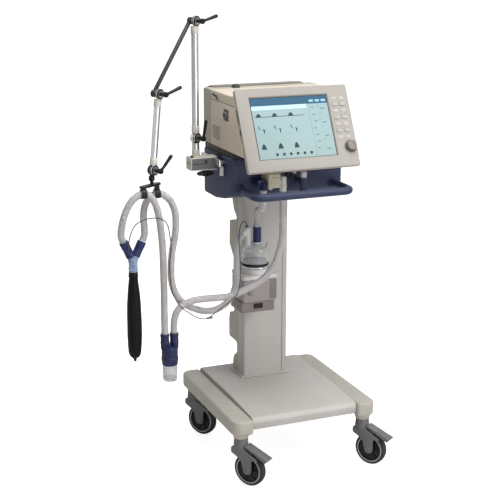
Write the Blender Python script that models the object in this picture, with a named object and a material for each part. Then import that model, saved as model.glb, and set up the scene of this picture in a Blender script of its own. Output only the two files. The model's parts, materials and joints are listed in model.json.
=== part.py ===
"""Mechanical ventilator on its trolley: floor at Z = 0, front towards -Y, metres.

All places below are written in the trolley's own frame, whose origin is the floor under the middle
of the trolley. The empty named ventilator moves that frame, so that the middle of the whole machine,
support arm included, stands over the part's origin.
"""

import math

import bmesh
import bpy
from mathutils import Matrix, Vector

# Where the trolley's middle stands, measured from the part's origin.
TROLLEY_X = 0.1145
TROLLEY_Y = 0.0334

GAP = 0.0003
SHARP_ANGLE = math.radians(35)

# Castors
CASTOR_X = 0.250
CASTOR_Y = 0.254
CASTOR_TURN = math.radians(-55)
CASTOR_TRAIL = 0.040
WHEEL_RADIUS = 0.0625
WHEEL_WIDTH = 0.032
FORK_WIDTH = 0.044
AXLE_RADIUS = 0.005
FOOT_BOTTOM = 0.179
PEDAL_SLOPE = math.radians(23)

# Trolley base
SKIRT_OUTER = 0.290
SKIRT_INNER = 0.2125
SKIRT_FRONT = -0.290
SKIRT_BACK = 0.300
SKIRT_BOTTOM = 0.196
SKIRT_TOP = 0.250
PLATFORM_TOP = 0.262
SHEET = 0.004

# Column
COLUMN_HALF = 0.092
COLUMN_FRONT = 0.109
COLUMN_SEAM = 0.172
COLUMN_TOP = 1.0055

# Lower housing, body and display
HOUSING_HALF = 0.220
HOUSING_FRONT = -0.090
HOUSING_BACK = 0.200
HOUSING_TOP = 1.200
BODY_BOTTOM = 1.2053
BODY_TOP = 1.408
BODY_BACK = 0.195
TILT = math.radians(27.2)
PANEL_FRONT = -0.248
PANEL_FOOT = 1.159
PANEL_HEIGHT = 0.310
PANEL_HALF = 0.219
BEZEL_DEPTH = 0.010
PANEL_DEPTH = 0.0195
TILT_HINGE = 0.052
KNOB_AT = (0.193, 0.074)
KEY_COLUMNS = (0.160, 0.190)
KEY_ROWS = (0.135, 0.185, 0.235)

# Support arm: its own frame has X outwards along the arm, Y along the hinge pins and Z up.
ARM_X = -0.307
ARM_Y = 0.050
ARM_TURN = math.radians(210)
TUBE_RADIUS = 0.013
BOOM_RADIUS = 0.0075
JOINT_RADIUS = 0.0175
NECK = 0.0182
CHEEK = 0.0125
BASE_JOINT = (0.0, 1.244)
TOP_JOINT = (0.0, 1.665)
MIDDLE_JOINT = (0.200, 1.425)
LOW_JOINT = (0.234, 1.160)

# Breathing circuit
HOSE_RADIUS = 0.013
CABLE_RADIUS = 0.002
CHAMBER_X = -0.074
CHAMBER_Y = 0.043
TRAP_Y = -0.100
Y_PIECE_Y = -0.075

EXPIRATORY_ROUTE = [
    (-0.6287, -0.0800, 0.9132), (-0.6362, -0.0812, 0.9317), (-0.6355, -0.084, 0.960),
    (-0.628, -0.088, 0.998), (-0.615, -0.092, 1.034), (-0.592, -0.095, 1.067), (-0.555, -0.096, 1.084),
    (-0.522, -0.097, 1.062), (-0.503, -0.098, 1.010), (-0.494, -0.099, 0.942), (-0.489, -0.100, 0.867),
    (-0.487, -0.100, 0.737), (-0.487, -0.100, 0.650), (-0.487, -0.100, 0.590), (-0.487, -0.100, 0.5603),
]
INSPIRATORY_ROUTE = [
    (-0.5553, -0.0679, 0.9065), (-0.5468, -0.0661, 0.9245), (-0.5450, -0.0635, 0.955),
    (-0.5455, -0.059, 1.000), (-0.532, -0.055, 1.045),
    (-0.492, -0.053, 1.072), (-0.450, -0.055, 1.050), (-0.429, -0.058, 1.008), (-0.425, -0.060, 0.965),
    (-0.429, -0.060, 0.912), (-0.441, -0.060, 0.852), (-0.446, -0.060, 0.788), (-0.442, -0.060, 0.732),
    (-0.424, -0.060, 0.684), (-0.391, -0.060, 0.648), (-0.351, -0.060, 0.626), (-0.307, -0.056, 0.612),
    (-0.258, -0.050, 0.615), (-0.211, -0.042, 0.642), (-0.184, -0.031, 0.686), (-0.1745, -0.021, 0.740),
    (-0.1690, -0.008, 0.790), (-0.1590, 0.0125, 0.8330), (-0.1482, 0.0235, 0.8524), (-0.1301, 0.0296, 0.8660),
]
RETURN_ROUTE = [
    (-0.451, -0.100, 0.5603), (-0.451, -0.100, 0.596), (-0.442, -0.100, 0.634), (-0.418, -0.100, 0.659),
    (-0.378, -0.100, 0.673), (-0.333, -0.100, 0.675), (-0.286, -0.101, 0.674), (-0.240, -0.103, 0.674),
    (-0.196, -0.107, 0.686), (-0.150, -0.112, 0.706), (-0.112, -0.118, 0.729), (-0.086, -0.125, 0.757),
    (-0.064, -0.132, 0.797), (-0.050, -0.139, 0.848), (-0.043, -0.145, 0.900), (-0.044, -0.149, 0.980),
    (-0.045, -0.150, 1.0647),
]
FEED_ROUTE = [
    (-0.122, -0.150, 1.0737), (-0.122, -0.150, 1.052), (-0.120, -0.140, 1.020), (-0.110, -0.100, 0.990),
    (-0.092, -0.035, 0.972), (-0.076, 0.018, 0.955), (-0.068, 0.036, 0.927), (-0.068, 0.036, 0.8973),
]
CABLE_ROUTE = [
    (-0.615, -0.0980, 0.885), (-0.617, -0.107, 0.907), (-0.615, -0.114, 0.932), (-0.609, -0.120, 0.957),
    (-0.593, -0.125, 0.984), (-0.555, -0.127, 1.000), (-0.510, -0.128, 0.999), (-0.484, -0.127, 0.981),
    (-0.473, -0.126, 0.949),
    (-0.466, -0.125, 0.882), (-0.472, -0.125, 0.831), (-0.469, -0.126, 0.749), (-0.462, -0.128, 0.715),
    (-0.440, -0.130, 0.672), (-0.405, -0.130, 0.640), (-0.368, -0.129, 0.615), (-0.332, -0.128, 0.609),
    (-0.288, -0.127, 0.634), (-0.236, -0.128, 0.668), (-0.213, -0.126, 0.690), (-0.192, -0.105, 0.746),
    (-0.182, -0.075, 0.797), (-0.170, -0.035, 0.856), (-0.157, -0.006, 0.893), (-0.138, 0.016, 0.917),
    (-0.119, 0.031, 0.918), (-0.1100, 0.036, 0.9010),
]


# ---------------------------------------------------------------- helpers


def empty(name, parent=None, at=(0, 0, 0), turn=(0, 0, 0)):
    frame = bpy.data.objects.new(name, None)
    bpy.context.collection.objects.link(frame)
    frame.parent = parent
    frame.location = at
    frame.rotation_euler = turn
    return frame


def material(name, colour, roughness, metallic=0.0):
    made = bpy.data.materials.new(name)
    made.use_nodes = True
    shader = made.node_tree.nodes["Principled BSDF"]
    shader.inputs["Base Color"].default_value = (*colour, 1.0)
    shader.inputs["Roughness"].default_value = roughness
    shader.inputs["Metallic"].default_value = metallic
    return made


def finished(shape, name):
    """The bmesh as a mesh, with its faces pointing out and its round sides smooth."""
    bmesh.ops.recalc_face_normals(shape, faces=shape.faces)
    if shape.calc_volume(signed=True) < 0:
        bmesh.ops.reverse_faces(shape, faces=shape.faces)
    mesh = bpy.data.meshes.new(name)
    shape.to_mesh(mesh)
    shape.free()
    mesh.shade_smooth()
    mesh.set_sharp_from_angle(angle=SHARP_ANGLE)
    return mesh


def box(low, high, bevel=0.0, steps=1):
    shape = bmesh.new()
    size = Vector(high) - Vector(low)
    middle = (Vector(high) + Vector(low)) / 2
    place = Matrix.Translation(middle) @ Matrix.Diagonal((*size, 1))
    bmesh.ops.create_cube(shape, size=1, matrix=place)
    if bevel:
        bmesh.ops.bevel(shape, geom=shape.edges[:], offset=bevel, segments=steps, affect="EDGES")
    return shape


def rounded(corners, radius, steps=3):
    """The closed outline with an arc at each corner; a corner's third number is its own radius."""
    outline = []
    for index, corner in enumerate(corners):
        here = Vector(corner[:2])
        back = Vector(corners[index - 1][:2]) - here
        ahead = Vector(corners[(index + 1) % len(corners)][:2]) - here
        half = back.angle(ahead) / 2
        wanted = corner[2] if len(corner) == 3 else radius
        cut = min(wanted / math.tan(half), 0.49 * back.length, 0.49 * ahead.length)
        if cut < 1e-5 or half > math.radians(89):
            outline.append(tuple(here))
            continue
        arc = cut * math.tan(half)
        centre = here + (back.normalized() + ahead.normalized()).normalized() * arc / math.sin(half)
        first = (here + back.normalized() * cut - centre).normalized()
        last = (here + ahead.normalized() * cut - centre).normalized()
        outline += [tuple(centre + arc * first.slerp(last, step / steps)) for step in range(steps + 1)]
    return outline


def prism(outline, axis, low, high):
    """The outline, drawn across the axis, pulled along it from low to high."""
    shape = bmesh.new()
    order = {"X": (2, 0, 1), "Y": (0, 2, 1), "Z": (0, 1, 2)}[axis]
    corners = [[(u, v, low)[i] for i in order] for u, v in outline]
    face = shape.faces.new([shape.verts.new(corner) for corner in corners])
    pulled = bmesh.ops.extrude_face_region(shape, geom=[face])["geom"]
    along = Vector([(0, 0, high - low)[i] for i in order])
    moved = [item for item in pulled if isinstance(item, bmesh.types.BMVert)]
    bmesh.ops.translate(shape, verts=moved, vec=along)
    return shape


def turned(profile, segments=24, place=None):
    """A profile of (radius, height) points spun round Z, then put in place."""
    shape = bmesh.new()
    points = [shape.verts.new((radius, 0, height)) for radius, height in profile]
    edges = [shape.edges.new(pair) for pair in zip(points, points[1:])]
    if profile[0][0] > 0:
        edges.append(shape.edges.new((points[-1], points[0])))
    bmesh.ops.spin(shape, geom=points + edges, cent=(0, 0, 0), axis=(0, 0, 1), angle=math.tau, steps=segments)
    bmesh.ops.remove_doubles(shape, verts=shape.verts[:], dist=1e-5)
    shape.transform(place or Matrix.Identity(4))
    return shape


def aimed(start, end):
    """The matrix that stands local Z along the line from start to end."""
    start = Vector(start)
    turn = (Vector(end) - start).to_track_quat("Z", "Y")
    return Matrix.Translation(start) @ turn.to_matrix().to_4x4()


def rod(start, end, radius, segments=18, end_radius=None):
    length = (Vector(end) - Vector(start)).length
    last = radius if end_radius is None else end_radius
    return turned([(0, 0), (radius, 0), (last, length), (0, length)], segments, aimed(start, end))


def piece(name, shape, look, parent, origin=(0, 0, 0)):
    """One named solid; the shape is written in the parent's frame, and origin is its own pivot there."""
    shape.transform(Matrix.Translation(-Vector(origin)))
    made = bpy.data.objects.new(name, finished(shape, name))
    bpy.context.collection.objects.link(made)
    made.parent = parent
    made.location = origin
    made.data.materials.append(material(name, *look))
    return made


def tool(target, shape, operation):
    """Cuts the shape out of the target, or joins it on; the shape is written in the parent's frame."""
    name = f"{target.name}_tool_{len(target.modifiers)}"
    helper = bpy.data.objects.new(name, finished(shape, name))
    bpy.context.collection.objects.link(helper)
    helper.parent = target.parent
    helper.hide_render = True
    helper.display_type = "WIRE"
    change = target.modifiers.new(name, "BOOLEAN")
    change.operation = operation
    change.object = helper


def cut(target, *shapes):
    for shape in shapes:
        tool(target, shape, "DIFFERENCE")


def join(target, *shapes):
    for shape in shapes:
        tool(target, shape, "UNION")


def smooth_route(route, spacing):
    """The route's straight first and last runs, and an even spacing on the smooth curve between."""
    points = [Vector(point) for point in route]
    fine = []
    for before, start, end, after in zip(points, points[1:], points[2:], points[3:]):
        for step in range(12):
            t = step / 12
            fine.append(
                0.5 * (2 * start + (end - before) * t + (2 * before - 5 * start + 4 * end - after) * t**2
                       + (3 * start - before - 3 * end + after) * t**3)
            )
    fine.append(points[-2])
    lengths = [0.0]
    for start, end in zip(fine, fine[1:]):
        lengths.append(lengths[-1] + (end - start).length)
    count = max(2, round(lengths[-1] / spacing))
    spaced = []
    index = 0
    for step in range(count + 1):
        wanted = lengths[-1] * step / count
        while index < len(fine) - 2 and lengths[index + 1] < wanted:
            index += 1
        part = (wanted - lengths[index]) / (lengths[index + 1] - lengths[index])
        spaced.append(fine[index].lerp(fine[index + 1], min(part, 1.0)))
    return [points[0], *spaced, points[-1]]


def hose(name, points, radius, look, parent, resolution=3):
    """A round bar along the points, with filled ends."""
    line = bpy.data.curves.new(name, "CURVE")
    line.dimensions = "3D"
    line.bevel_depth = radius
    line.bevel_resolution = resolution
    line.use_fill_caps = True
    spline = line.splines.new("POLY")
    spline.points.add(len(points) - 1)
    for target, point in zip(spline.points, points):
        target.co = (*point, 1)
    made = bpy.data.objects.new(name, line)
    bpy.context.collection.objects.link(made)
    made.parent = parent
    line.materials.append(material(name, *look))
    return made


# ---------------------------------------------------------------- finishes: colour, roughness, metallic

BEIGE = ((0.58, 0.53, 0.43), 0.45)
OLIVE_BEIGE = ((0.47, 0.44, 0.34), 0.5)
WARM_GREY = ((0.50, 0.48, 0.45), 0.5)
NAVY = ((0.045, 0.06, 0.15), 0.4)
DARK_GREY = ((0.05, 0.05, 0.052), 0.5)
BLACK = ((0.012, 0.012, 0.013), 0.45)
RUBBER = ((0.02, 0.02, 0.021), 0.75)
CASTING = ((0.14, 0.14, 0.135), 0.5)
STEEL = ((0.55, 0.55, 0.55), 0.3, 1.0)
ZINC = ((0.36, 0.35, 0.30), 0.45, 0.6)
SCREEN = ((0.50, 0.66, 0.70), 0.15)
CLEAR = ((0.75, 0.78, 0.80), 0.15)
HOSE_GREY = ((0.62, 0.60, 0.60), 0.35)
BLUE = ((0.02, 0.035, 0.20), 0.4)
PALE_BLUE = ((0.30, 0.42, 0.62), 0.3)
CREAM = ((0.60, 0.60, 0.42), 0.45)
PINK_GREY = ((0.50, 0.45, 0.42), 0.5)


# ---------------------------------------------------------------- trolley


def castor(side, end, trolley):
    """A swivel castor in a frame of its own, at the stem and with X along its trail."""
    name = f"{'front' if end < 0 else 'rear'}_{'left' if side < 0 else 'right'}"
    stem = empty(f"castor_{name}", trolley, (side * CASTOR_X, end * CASTOR_Y, 0), (0, 0, CASTOR_TURN))
    hub = (CASTOR_TRAIL, 0, WHEEL_RADIUS)
    half = FORK_WIDTH / 2
    hood = rounded(
        [(-0.030, 0.146), (0.014, 0.146), (0.080, 0.113, 0.003), (0.082, 0.106, 0.003), (0.058, 0.106, 0.004),
         (0.0555, 0.047, 0.015), (0.0255, 0.047, 0.015), (0.012, 0.100), (-0.030, 0.122)],
        0.008,
    )
    fork = piece(f"castor_fork_{name}", prism(hood, "Y", -half, half), CASTING, stem)
    pocket = WHEEL_WIDTH / 2 + 0.0008
    cut(fork, rod((hub[0], -pocket, hub[2]), (hub[0], pocket, hub[2]), WHEEL_RADIUS + 0.0028, 24))
    join(fork, rod((0, 0, 0.140), (0, 0, FOOT_BOTTOM - GAP), 0.026, 18))
    join(fork, rod((hub[0], -half + 0.002, hub[2]), (hub[0], half - 0.002, hub[2]), AXLE_RADIUS, 10))

    tread = WHEEL_WIDTH / 2
    profile = [
        (AXLE_RADIUS + GAP, -tread), (0.016, -tread), (0.043, -0.010), (0.047, -tread + 0.001),
        (0.057, -tread + 0.002), (WHEEL_RADIUS, -0.008), (WHEEL_RADIUS, 0.008), (0.057, tread - 0.002),
        (0.047, tread - 0.001), (0.043, 0.010), (0.016, tread), (AXLE_RADIUS + GAP, tread),
    ]
    across = Matrix.Translation(hub) @ Matrix.Rotation(math.radians(-90), 4, "X")
    piece(f"castor_wheel_{name}", turned(profile, 24, across), RUBBER, stem, hub)
    return name, stem


def brake_pedal(name, stem):
    """The foot brake, a sloping lever that turns about a pin above the fork's hood."""
    pin = (0.030, 0, 0.1555)
    tip = 0.096
    drop = tip * math.tan(PEDAL_SLOPE)
    side = rounded(
        [(pin[0] - 0.0025, pin[2] + 0.002), (pin[0] + tip, pin[2] + 0.004 - drop, 0.002),
         (pin[0] + tip - 0.012, pin[2] - 0.008 - drop, 0.002), (pin[0] - 0.0025, pin[2] - 0.005)],
        0.0015,
    )
    piece(f"brake_pedal_{name}", prism(side, "Y", -0.019, 0.019), CASTING, stem, pin)


def base_skirt(side, trolley):
    """One side beam of the base, with a round foot over each castor."""
    name = "left" if side < 0 else "right"
    plan = rounded(
        [(side * SKIRT_INNER, SKIRT_FRONT, 0.018), (side * SKIRT_OUTER, SKIRT_FRONT, 0.034),
         (side * SKIRT_OUTER, SKIRT_BACK, 0.034), (side * SKIRT_INNER, SKIRT_BACK, 0.018)],
        0.018, 5,
    )
    beam = prism(plan, "Z", SKIRT_BOTTOM, SKIRT_TOP)
    top = [edge for edge in beam.edges if all(v.co.z > SKIRT_TOP - 1e-4 for v in edge.verts)]
    bmesh.ops.bevel(beam, geom=top, offset=0.008, segments=2, affect="EDGES")
    skirt = piece(f"{name}_base_skirt", beam, OLIVE_BEIGE, trolley)
    for end in (-1, 1):
        foot = [(0, 0), (0.0265, 0), (0.029, 0.006), (0.0325, 0.022), (0.033, 0.040), (0, 0.040)]
        middle = Matrix.Translation((side * CASTOR_X, end * CASTOR_Y, FOOT_BOTTOM))
        join(skirt, turned(foot, 28, middle))


def base_platform(trolley):
    """The moulded cover between the skirts: a bent sheet with a sloping front and a crease."""
    outer = [
        (0.285, 0.208), (0.290, 0.256), (0.276, PLATFORM_TOP), (-0.065, PLATFORM_TOP), (-0.250, 0.2535),
        (-0.268, 0.250), (-0.2765, 0.236), (-0.272, 0.208),
    ]
    inner = [
        (-0.268, 0.208), (-0.2720, 0.235), (-0.266, 0.2465), (-0.250, 0.2495), (-0.065, PLATFORM_TOP - SHEET),
        (0.274, PLATFORM_TOP - SHEET), (0.286, 0.2525), (0.281, 0.208),
    ]
    half = SKIRT_INNER - GAP
    cover = piece("base_platform", prism(outer + inner, "X", -half, half), WARM_GREY, trolley)
    # a load stands on this low raised field in front of the column
    join(cover, box((-0.200, -0.060, PLATFORM_TOP - 0.001), (0.200, 0.098, PLATFORM_TOP + 0.001)))


def chassis_frame(trolley):
    """The steel H under the platform: two side bars and two cross bars as one plate frame."""
    plate = piece("chassis_frame", box((-0.205, -0.255, 0.212), (0.205, 0.270, 0.242)), CASTING, trolley)
    cut(plate, box((-0.170, -0.300, 0.200), (0.170, -0.120, 0.250)))
    cut(plate, box((-0.170, -0.080, 0.200), (0.170, 0.080, 0.250)))
    cut(plate, box((-0.170, 0.180, 0.200), (0.170, 0.300, 0.250)))


# ---------------------------------------------------------------- column


def column(trolley):
    foot = PLATFORM_TOP + GAP
    seam = COLUMN_SEAM
    wall = 0.003
    groove = 0.070
    front = [
        (-COLUMN_HALF, seam), (-COLUMN_HALF, COLUMN_FRONT + 0.006), (-COLUMN_HALF + 0.006, COLUMN_FRONT),
        (groove - 0.003, COLUMN_FRONT), (groove - 0.002, COLUMN_FRONT + 0.0018),
        (groove + 0.002, COLUMN_FRONT + 0.0018), (groove + 0.003, COLUMN_FRONT),
        (COLUMN_HALF - 0.006, COLUMN_FRONT), (COLUMN_HALF, COLUMN_FRONT + 0.006), (COLUMN_HALF, seam),
        (COLUMN_HALF - wall, seam), (COLUMN_HALF - wall, COLUMN_FRONT + 0.008),
        (COLUMN_HALF - 0.008, COLUMN_FRONT + 0.0045), (-COLUMN_HALF + 0.008, COLUMN_FRONT + 0.0045),
        (-COLUMN_HALF + wall, COLUMN_FRONT + 0.008), (-COLUMN_HALF + wall, seam),
    ]
    piece("column_cover", prism(front, "Z", foot, COLUMN_TOP), WARM_GREY, trolley)

    start = seam + GAP
    back = rounded(
        [(start, COLUMN_TOP, 0), (0.236, COLUMN_TOP, 0), (0.232, 0.955), (0.216, 0.920), (0.190, 0.900),
         (0.190, 0.880), (0.262, 0.872), (0.266, 0.775), (0.222, 0.728), (0.206, 0.690), (0.206, 0.540),
         (0.222, 0.502), (0.264, 0.490), (0.271, 0.460), (0.271, 0.386), (0.188, 0.384), (0.184, 0.345),
         (0.222, 0.318), (0.229, 0.290), (0.229, foot, 0), (start, foot, 0)],
        0.010, 3,
    )
    cover = piece("column_rear_cover", prism(back, "X", -COLUMN_HALF, COLUMN_HALF), OLIVE_BEIGE, trolley)
    inside = [
        (start - 0.02, COLUMN_TOP - 0.01), (0.224, COLUMN_TOP - 0.01), (0.210, 0.924), (0.182, 0.908),
        (0.182, 0.872), (0.252, 0.862), (0.256, 0.780), (0.214, 0.736), (0.198, 0.690), (0.198, 0.540),
        (0.214, 0.508), (0.256, 0.480), (0.261, 0.396), (0.180, 0.392), (0.178, 0.340), (0.212, 0.314),
        (0.220, 0.290), (0.220, foot + 0.01), (start - 0.02, foot + 0.01),
    ]
    cut(cover, prism(inside, "X", -COLUMN_HALF + wall, COLUMN_HALF - wall))

    web = [
        (-0.050, 0.168), (-0.050, 0.118), (0.050, 0.118), (0.050, 0.168), (0.046, 0.168), (0.046, 0.122),
        (-0.046, 0.122), (-0.046, 0.168),
    ]
    piece("column_post", prism(web, "Z", foot, COLUMN_TOP), STEEL, trolley)


# ---------------------------------------------------------------- lower housing, handle and rail


def lower_housing(trolley):
    """The navy tub that carries the body; its belly rises towards the front."""
    low_back = 1.008
    side = rounded(
        [(HOUSING_FRONT, HOUSING_TOP, 0), (HOUSING_FRONT, 1.047, 0.022), (-0.010, 1.022, 0.04),
         (0.080, low_back, 0.03), (HOUSING_BACK, low_back, 0.012), (HOUSING_BACK, HOUSING_TOP, 0)],
        0.010, 4,
    )
    shell = prism(side, "X", -HOUSING_HALF, HOUSING_HALF)
    tub = piece("lower_housing", shell, NAVY, trolley)
    inside = [
        (HOUSING_FRONT + SHEET, HOUSING_TOP + 0.01), (HOUSING_FRONT + SHEET, 1.060), (-0.010, 1.030),
        (0.080, low_back + SHEET), (HOUSING_BACK - SHEET, low_back + SHEET),
        (HOUSING_BACK - SHEET, HOUSING_TOP + 0.01),
    ]
    cut(tub, prism(inside, "X", -HOUSING_HALF + SHEET, HOUSING_HALF - SHEET))

    half = 0.186
    front = -0.244
    height = 1.067
    bend = 0.030
    arc = [math.radians(15 * step) for step in range(7)]
    left = [(-half + bend - bend * math.cos(a), front + bend - bend * math.sin(a), height) for a in arc]
    right = [(-x, y, z) for x, y, z in reversed(left)]
    start = HOUSING_FRONT - GAP
    route = [(-half, start, height), (-half, -0.150, height), *left, (0, front, height), *right,
             (half, -0.150, height), (half, start, height)]
    hose("front_handle", route, 0.0145, NAVY, trolley)

    outer = -HOUSING_HALF - 0.026
    bar = box((outer, -0.030, 1.1445), (outer + 0.010, 0.160, 1.1695), 0.001)
    rail = piece("side_rail", bar, STEEL, trolley)
    # the arm's clamp sits over this shallow relief, which leaves the rail's free lengths as two plain faces
    cut(rail, box((outer - 0.002, 0.0205, 1.140), (outer + 0.0004, 0.0795, 1.175)))
    for y in (-0.010, 0.140):
        join(rail, rod((outer + 0.005, y, 1.157), (-HOUSING_HALF - GAP, y, 1.157), 0.007, 16))


# ---------------------------------------------------------------- ventilator body


def body(trolley):
    """The beige housing: its front face leans back with the display, and its back is open."""
    lean = math.tan(TILT)
    front = -0.1985
    front_top = front + (BODY_TOP - BODY_BOTTOM) * lean
    side = rounded(
        [(front, BODY_BOTTOM, 0.003), (BODY_BACK, BODY_BOTTOM, 0), (BODY_BACK, BODY_TOP, 0),
         (front_top, BODY_TOP, 0.004)],
        0.003, 2,
    )
    shell = prism(side, "X", -HOUSING_HALF, HOUSING_HALF)
    casing = piece("body_shell", shell, BEIGE, trolley)
    wall = 0.0035
    inside = [
        (front + 0.006, BODY_BOTTOM + wall), (BODY_BACK + 0.02, BODY_BOTTOM + wall),
        (BODY_BACK + 0.02, BODY_TOP - wall), (front_top + 0.004, BODY_TOP - wall),
    ]
    cut(casing, prism(inside, "X", -HOUSING_HALF + wall, HOUSING_HALF - wall))
    join(casing, rod((-HOUSING_HALF + 0.002, -0.036, 1.334), (-HOUSING_HALF - 0.010, -0.036, 1.334), 0.020, 24))
    # the lid's raised field, which carries whatever stands on the ventilator
    join(casing, box((-0.185, front_top + 0.020, BODY_TOP - 0.001), (0.185, 0.166, BODY_TOP + 0.0015)))

    top = BODY_TOP + 0.006
    panel = [
        (-0.219, BODY_BOTTOM), (0.219, BODY_BOTTOM), (0.219, BODY_TOP - 0.010), (0.172, top), (-0.190, top),
        (-0.219, BODY_TOP - 0.004),
    ]
    rear = piece("rear_panel", prism(panel, "Y", BODY_BACK + GAP, BODY_BACK + 0.008), DARK_GREY, trolley)
    ledge = BODY_TOP + GAP
    lip = [(-0.190, top), (0.172, top), (0.182, ledge), (-0.196, ledge)]
    join(rear, prism(lip, "Y", 0.172, BODY_BACK + 0.004))

    inner = BODY_BOTTOM + wall + GAP
    piece("gas_valve_block", box((-0.190, -0.060, inner), (-0.030, 0.150, 1.310), 0.004), STEEL, trolley)
    piece("electronics_unit", box((0.010, -0.050, inner), (0.195, 0.165, 1.370), 0.003), ZINC, trolley)


def display(trolley):
    """The tilting screen; its frame has Y up the panel and Z straight out of its front face."""
    panel = empty("display_plane", trolley, (0, PANEL_FRONT, PANEL_FOOT), (math.pi / 2 - TILT, 0, 0))
    hinge = (0, TILT_HINGE, -PANEL_DEPTH)
    window_low = (-0.1675, 0.0450)
    window_high = (0.1355, 0.2750)

    outline = rounded(
        [(-PANEL_HALF, 0), (PANEL_HALF, 0), (PANEL_HALF, PANEL_HEIGHT), (-PANEL_HALF, PANEL_HEIGHT)], 0.006, 3
    )
    face = prism(outline, "Z", -BEZEL_DEPTH, 0)
    rim = [edge for edge in face.edges if all(v.co.z > -1e-4 for v in edge.verts)]
    bmesh.ops.bevel(face, geom=rim, offset=0.003, segments=2, affect="EDGES")
    bezel = piece("display_bezel", face, BEIGE, panel, hinge)
    cut(bezel, box((*window_low, -0.02), (*window_high, 0.01)))

    back = prism(outline, "Z", -PANEL_DEPTH, -BEZEL_DEPTH - GAP)
    piece("display_housing", back, BEIGE, panel, hinge)
    low = (window_low[0] + GAP, window_low[1] + GAP, -0.0090)
    high = (window_high[0] - GAP, window_high[1] - GAP, -0.0035)
    piece("screen_panel", box(low, high), SCREEN, panel, hinge)

    dial = [(0, GAP), (0.0225, GAP), (0.0225, 0.005), (0.0205, 0.014), (0.018, 0.016), (0, 0.016)]
    place = Matrix.Translation((*KNOB_AT, 0))
    piece("rotary_knob", turned(dial, 32, place), PINK_GREY, panel, (*KNOB_AT, 0))

    # Each key stands in its own pocket in the bezel and travels one millimetre into it.
    for row, v in enumerate(KEY_ROWS):
        for column_number, u in enumerate(KEY_COLUMNS):
            cut(bezel, box((u - 0.0107, v - 0.0067, -0.0040), (u + 0.0107, v + 0.0067, 0.01)))
            cap = box((u - 0.0100, v - 0.0060, -0.0028), (u + 0.0100, v + 0.0060, 0.0022), 0.001)
            name = f"key_{row + 1}_{'left' if column_number == 0 else 'right'}"
            piece(name, cap, WARM_GREY, panel, (u, v, 0))


def gas_ports(trolley):
    """The breathing connections in front of the lower housing, under the display."""
    face = HOUSING_FRONT - GAP
    block = box((-0.108, -0.165, 1.080), (-0.0595, face, 1.134), 0.004, 2)
    valve = piece("expiratory_valve", block, CREAM, trolley)
    join(valve, rod((-0.045, -0.150, 1.0650), (-0.045, -0.150, 1.1180), 0.0125, 24))
    join(valve, box((-0.070, -0.157, 1.092), (-0.045, -0.143, 1.106)))

    port = box((-0.144, -0.152, 1.088), (-0.1125, face, 1.112), 0.003, 2)
    inlet = piece("inspiratory_port", port, BLUE, trolley)
    join(inlet, rod((-0.122, -0.150, 1.0740), (-0.122, -0.150, 1.104), 0.0125, 24))

    cup = [(0, 0), (0.0135, 0), (0.0150, 0.003), (0.0150, 0.050), (0.0115, 0.053), (0.0115, 0.076), (0, 0.076)]
    trap = piece("nebuliser_port", turned(cup, 24, Matrix.Translation((0.037, -0.150, 1.056))), NAVY, trolley)
    join(trap, box((0.029, -0.143, 1.082), (0.045, face, 1.098)))


# ---------------------------------------------------------------- humidifier


def humidifier(trolley):
    wall = COLUMN_FRONT - GAP
    block = box((-0.146, -0.020, 0.606), (-0.010, wall - 0.008, 0.716), 0.006, 2)
    base = piece("humidifier_base", block, PINK_GREY, trolley)
    join(base, box((-0.112, wall - 0.010, 0.566), (-0.036, wall, 0.728)))
    join(base, box((-0.152, -0.014, 0.572), (-0.016, wall - 0.010, 0.612), 0.003))
    plate = [(0, 0.712), (0.060, 0.712), (0.060, 0.734), (0.058, 0.736), (0, 0.736)]
    join(base, turned(plate, 32, Matrix.Translation((CHAMBER_X, CHAMBER_Y, 0))))
    cut(base, box((-0.102, -0.030, 0.584), (-0.064, -0.008, 0.604)))

    rocker = rounded([(-0.0165, 0.5852), (-0.0155, 0.6028), (-0.0090, 0.6028), (-0.0090, 0.5852)], 0.001, 2)
    piece("humidifier_switch", prism(rocker, "X", -0.1012, -0.0648), BLACK, trolley, (-0.083, -0.0095, 0.594))

    dome = [
        (0, 0.7363), (0.050, 0.7363), (0.054, 0.740), (0.054, 0.752), (0.0505, 0.755), (0.0505, 0.785),
        (0.046, 0.806), (0.034, 0.822), (0.022, 0.830), (0, 0.830),
    ]
    middle = Matrix.Translation((CHAMBER_X, CHAMBER_Y, 0))
    chamber = piece("water_chamber", turned(dome, 32, middle), CLEAR, trolley)
    join(chamber, rod((-0.068, 0.036, 0.815), (-0.068, 0.036, 0.8970), 0.0165, 24))
    join(chamber, rod((-0.104, 0.040, 0.795), (-0.104, 0.040, 0.889), 0.0115, 18))
    join(chamber, rod((-0.1035, 0.0385, 0.886), (-0.1297, 0.0297, 0.8663), 0.0125, 18))


# ---------------------------------------------------------------- support arm


def cheek(joint, side, radius=JOINT_RADIUS, deep=CHEEK):
    """A joint's disc on one side of the arm's middle plane; side is -1 or 1."""
    near = side * GAP / 2
    far = side * deep
    return rod((joint[0], near, joint[1]), (joint[0], far, joint[1]), radius, 24)


def neck(joint, toward, side):
    """The flat tongue that carries a joint's disc, from the joint into the tube's end."""
    start = Vector(joint)
    along = (Vector(toward) - start).normalized() * (NECK + 0.006)
    across = Vector((along.y, -along.x)).normalized() * 0.009
    corners = [start + across, start + along + across, start + along - across, start - across]
    return prism([tuple(corner) for corner in corners], "Y", *sorted((side * 0.001, side * (CHEEK - 0.001))))


def lock_lever(name, arm, joint, lean):
    """The clamping lever on a joint's pin: a round hub and a handle that leans from upright."""
    x, z = joint
    start = CHEEK + GAP
    hub = piece(name, rod((x, start, z), (x, 0.041, z), 0.0105, 20, 0.009), BLACK, arm, (x, 0, z))
    reach = 0.070
    tip = (x + reach * math.sin(lean), 0.050, z + reach * math.cos(lean))
    join(hub, rod((x, 0.0345, z), tip, 0.0055, 12, 0.0065))


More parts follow.
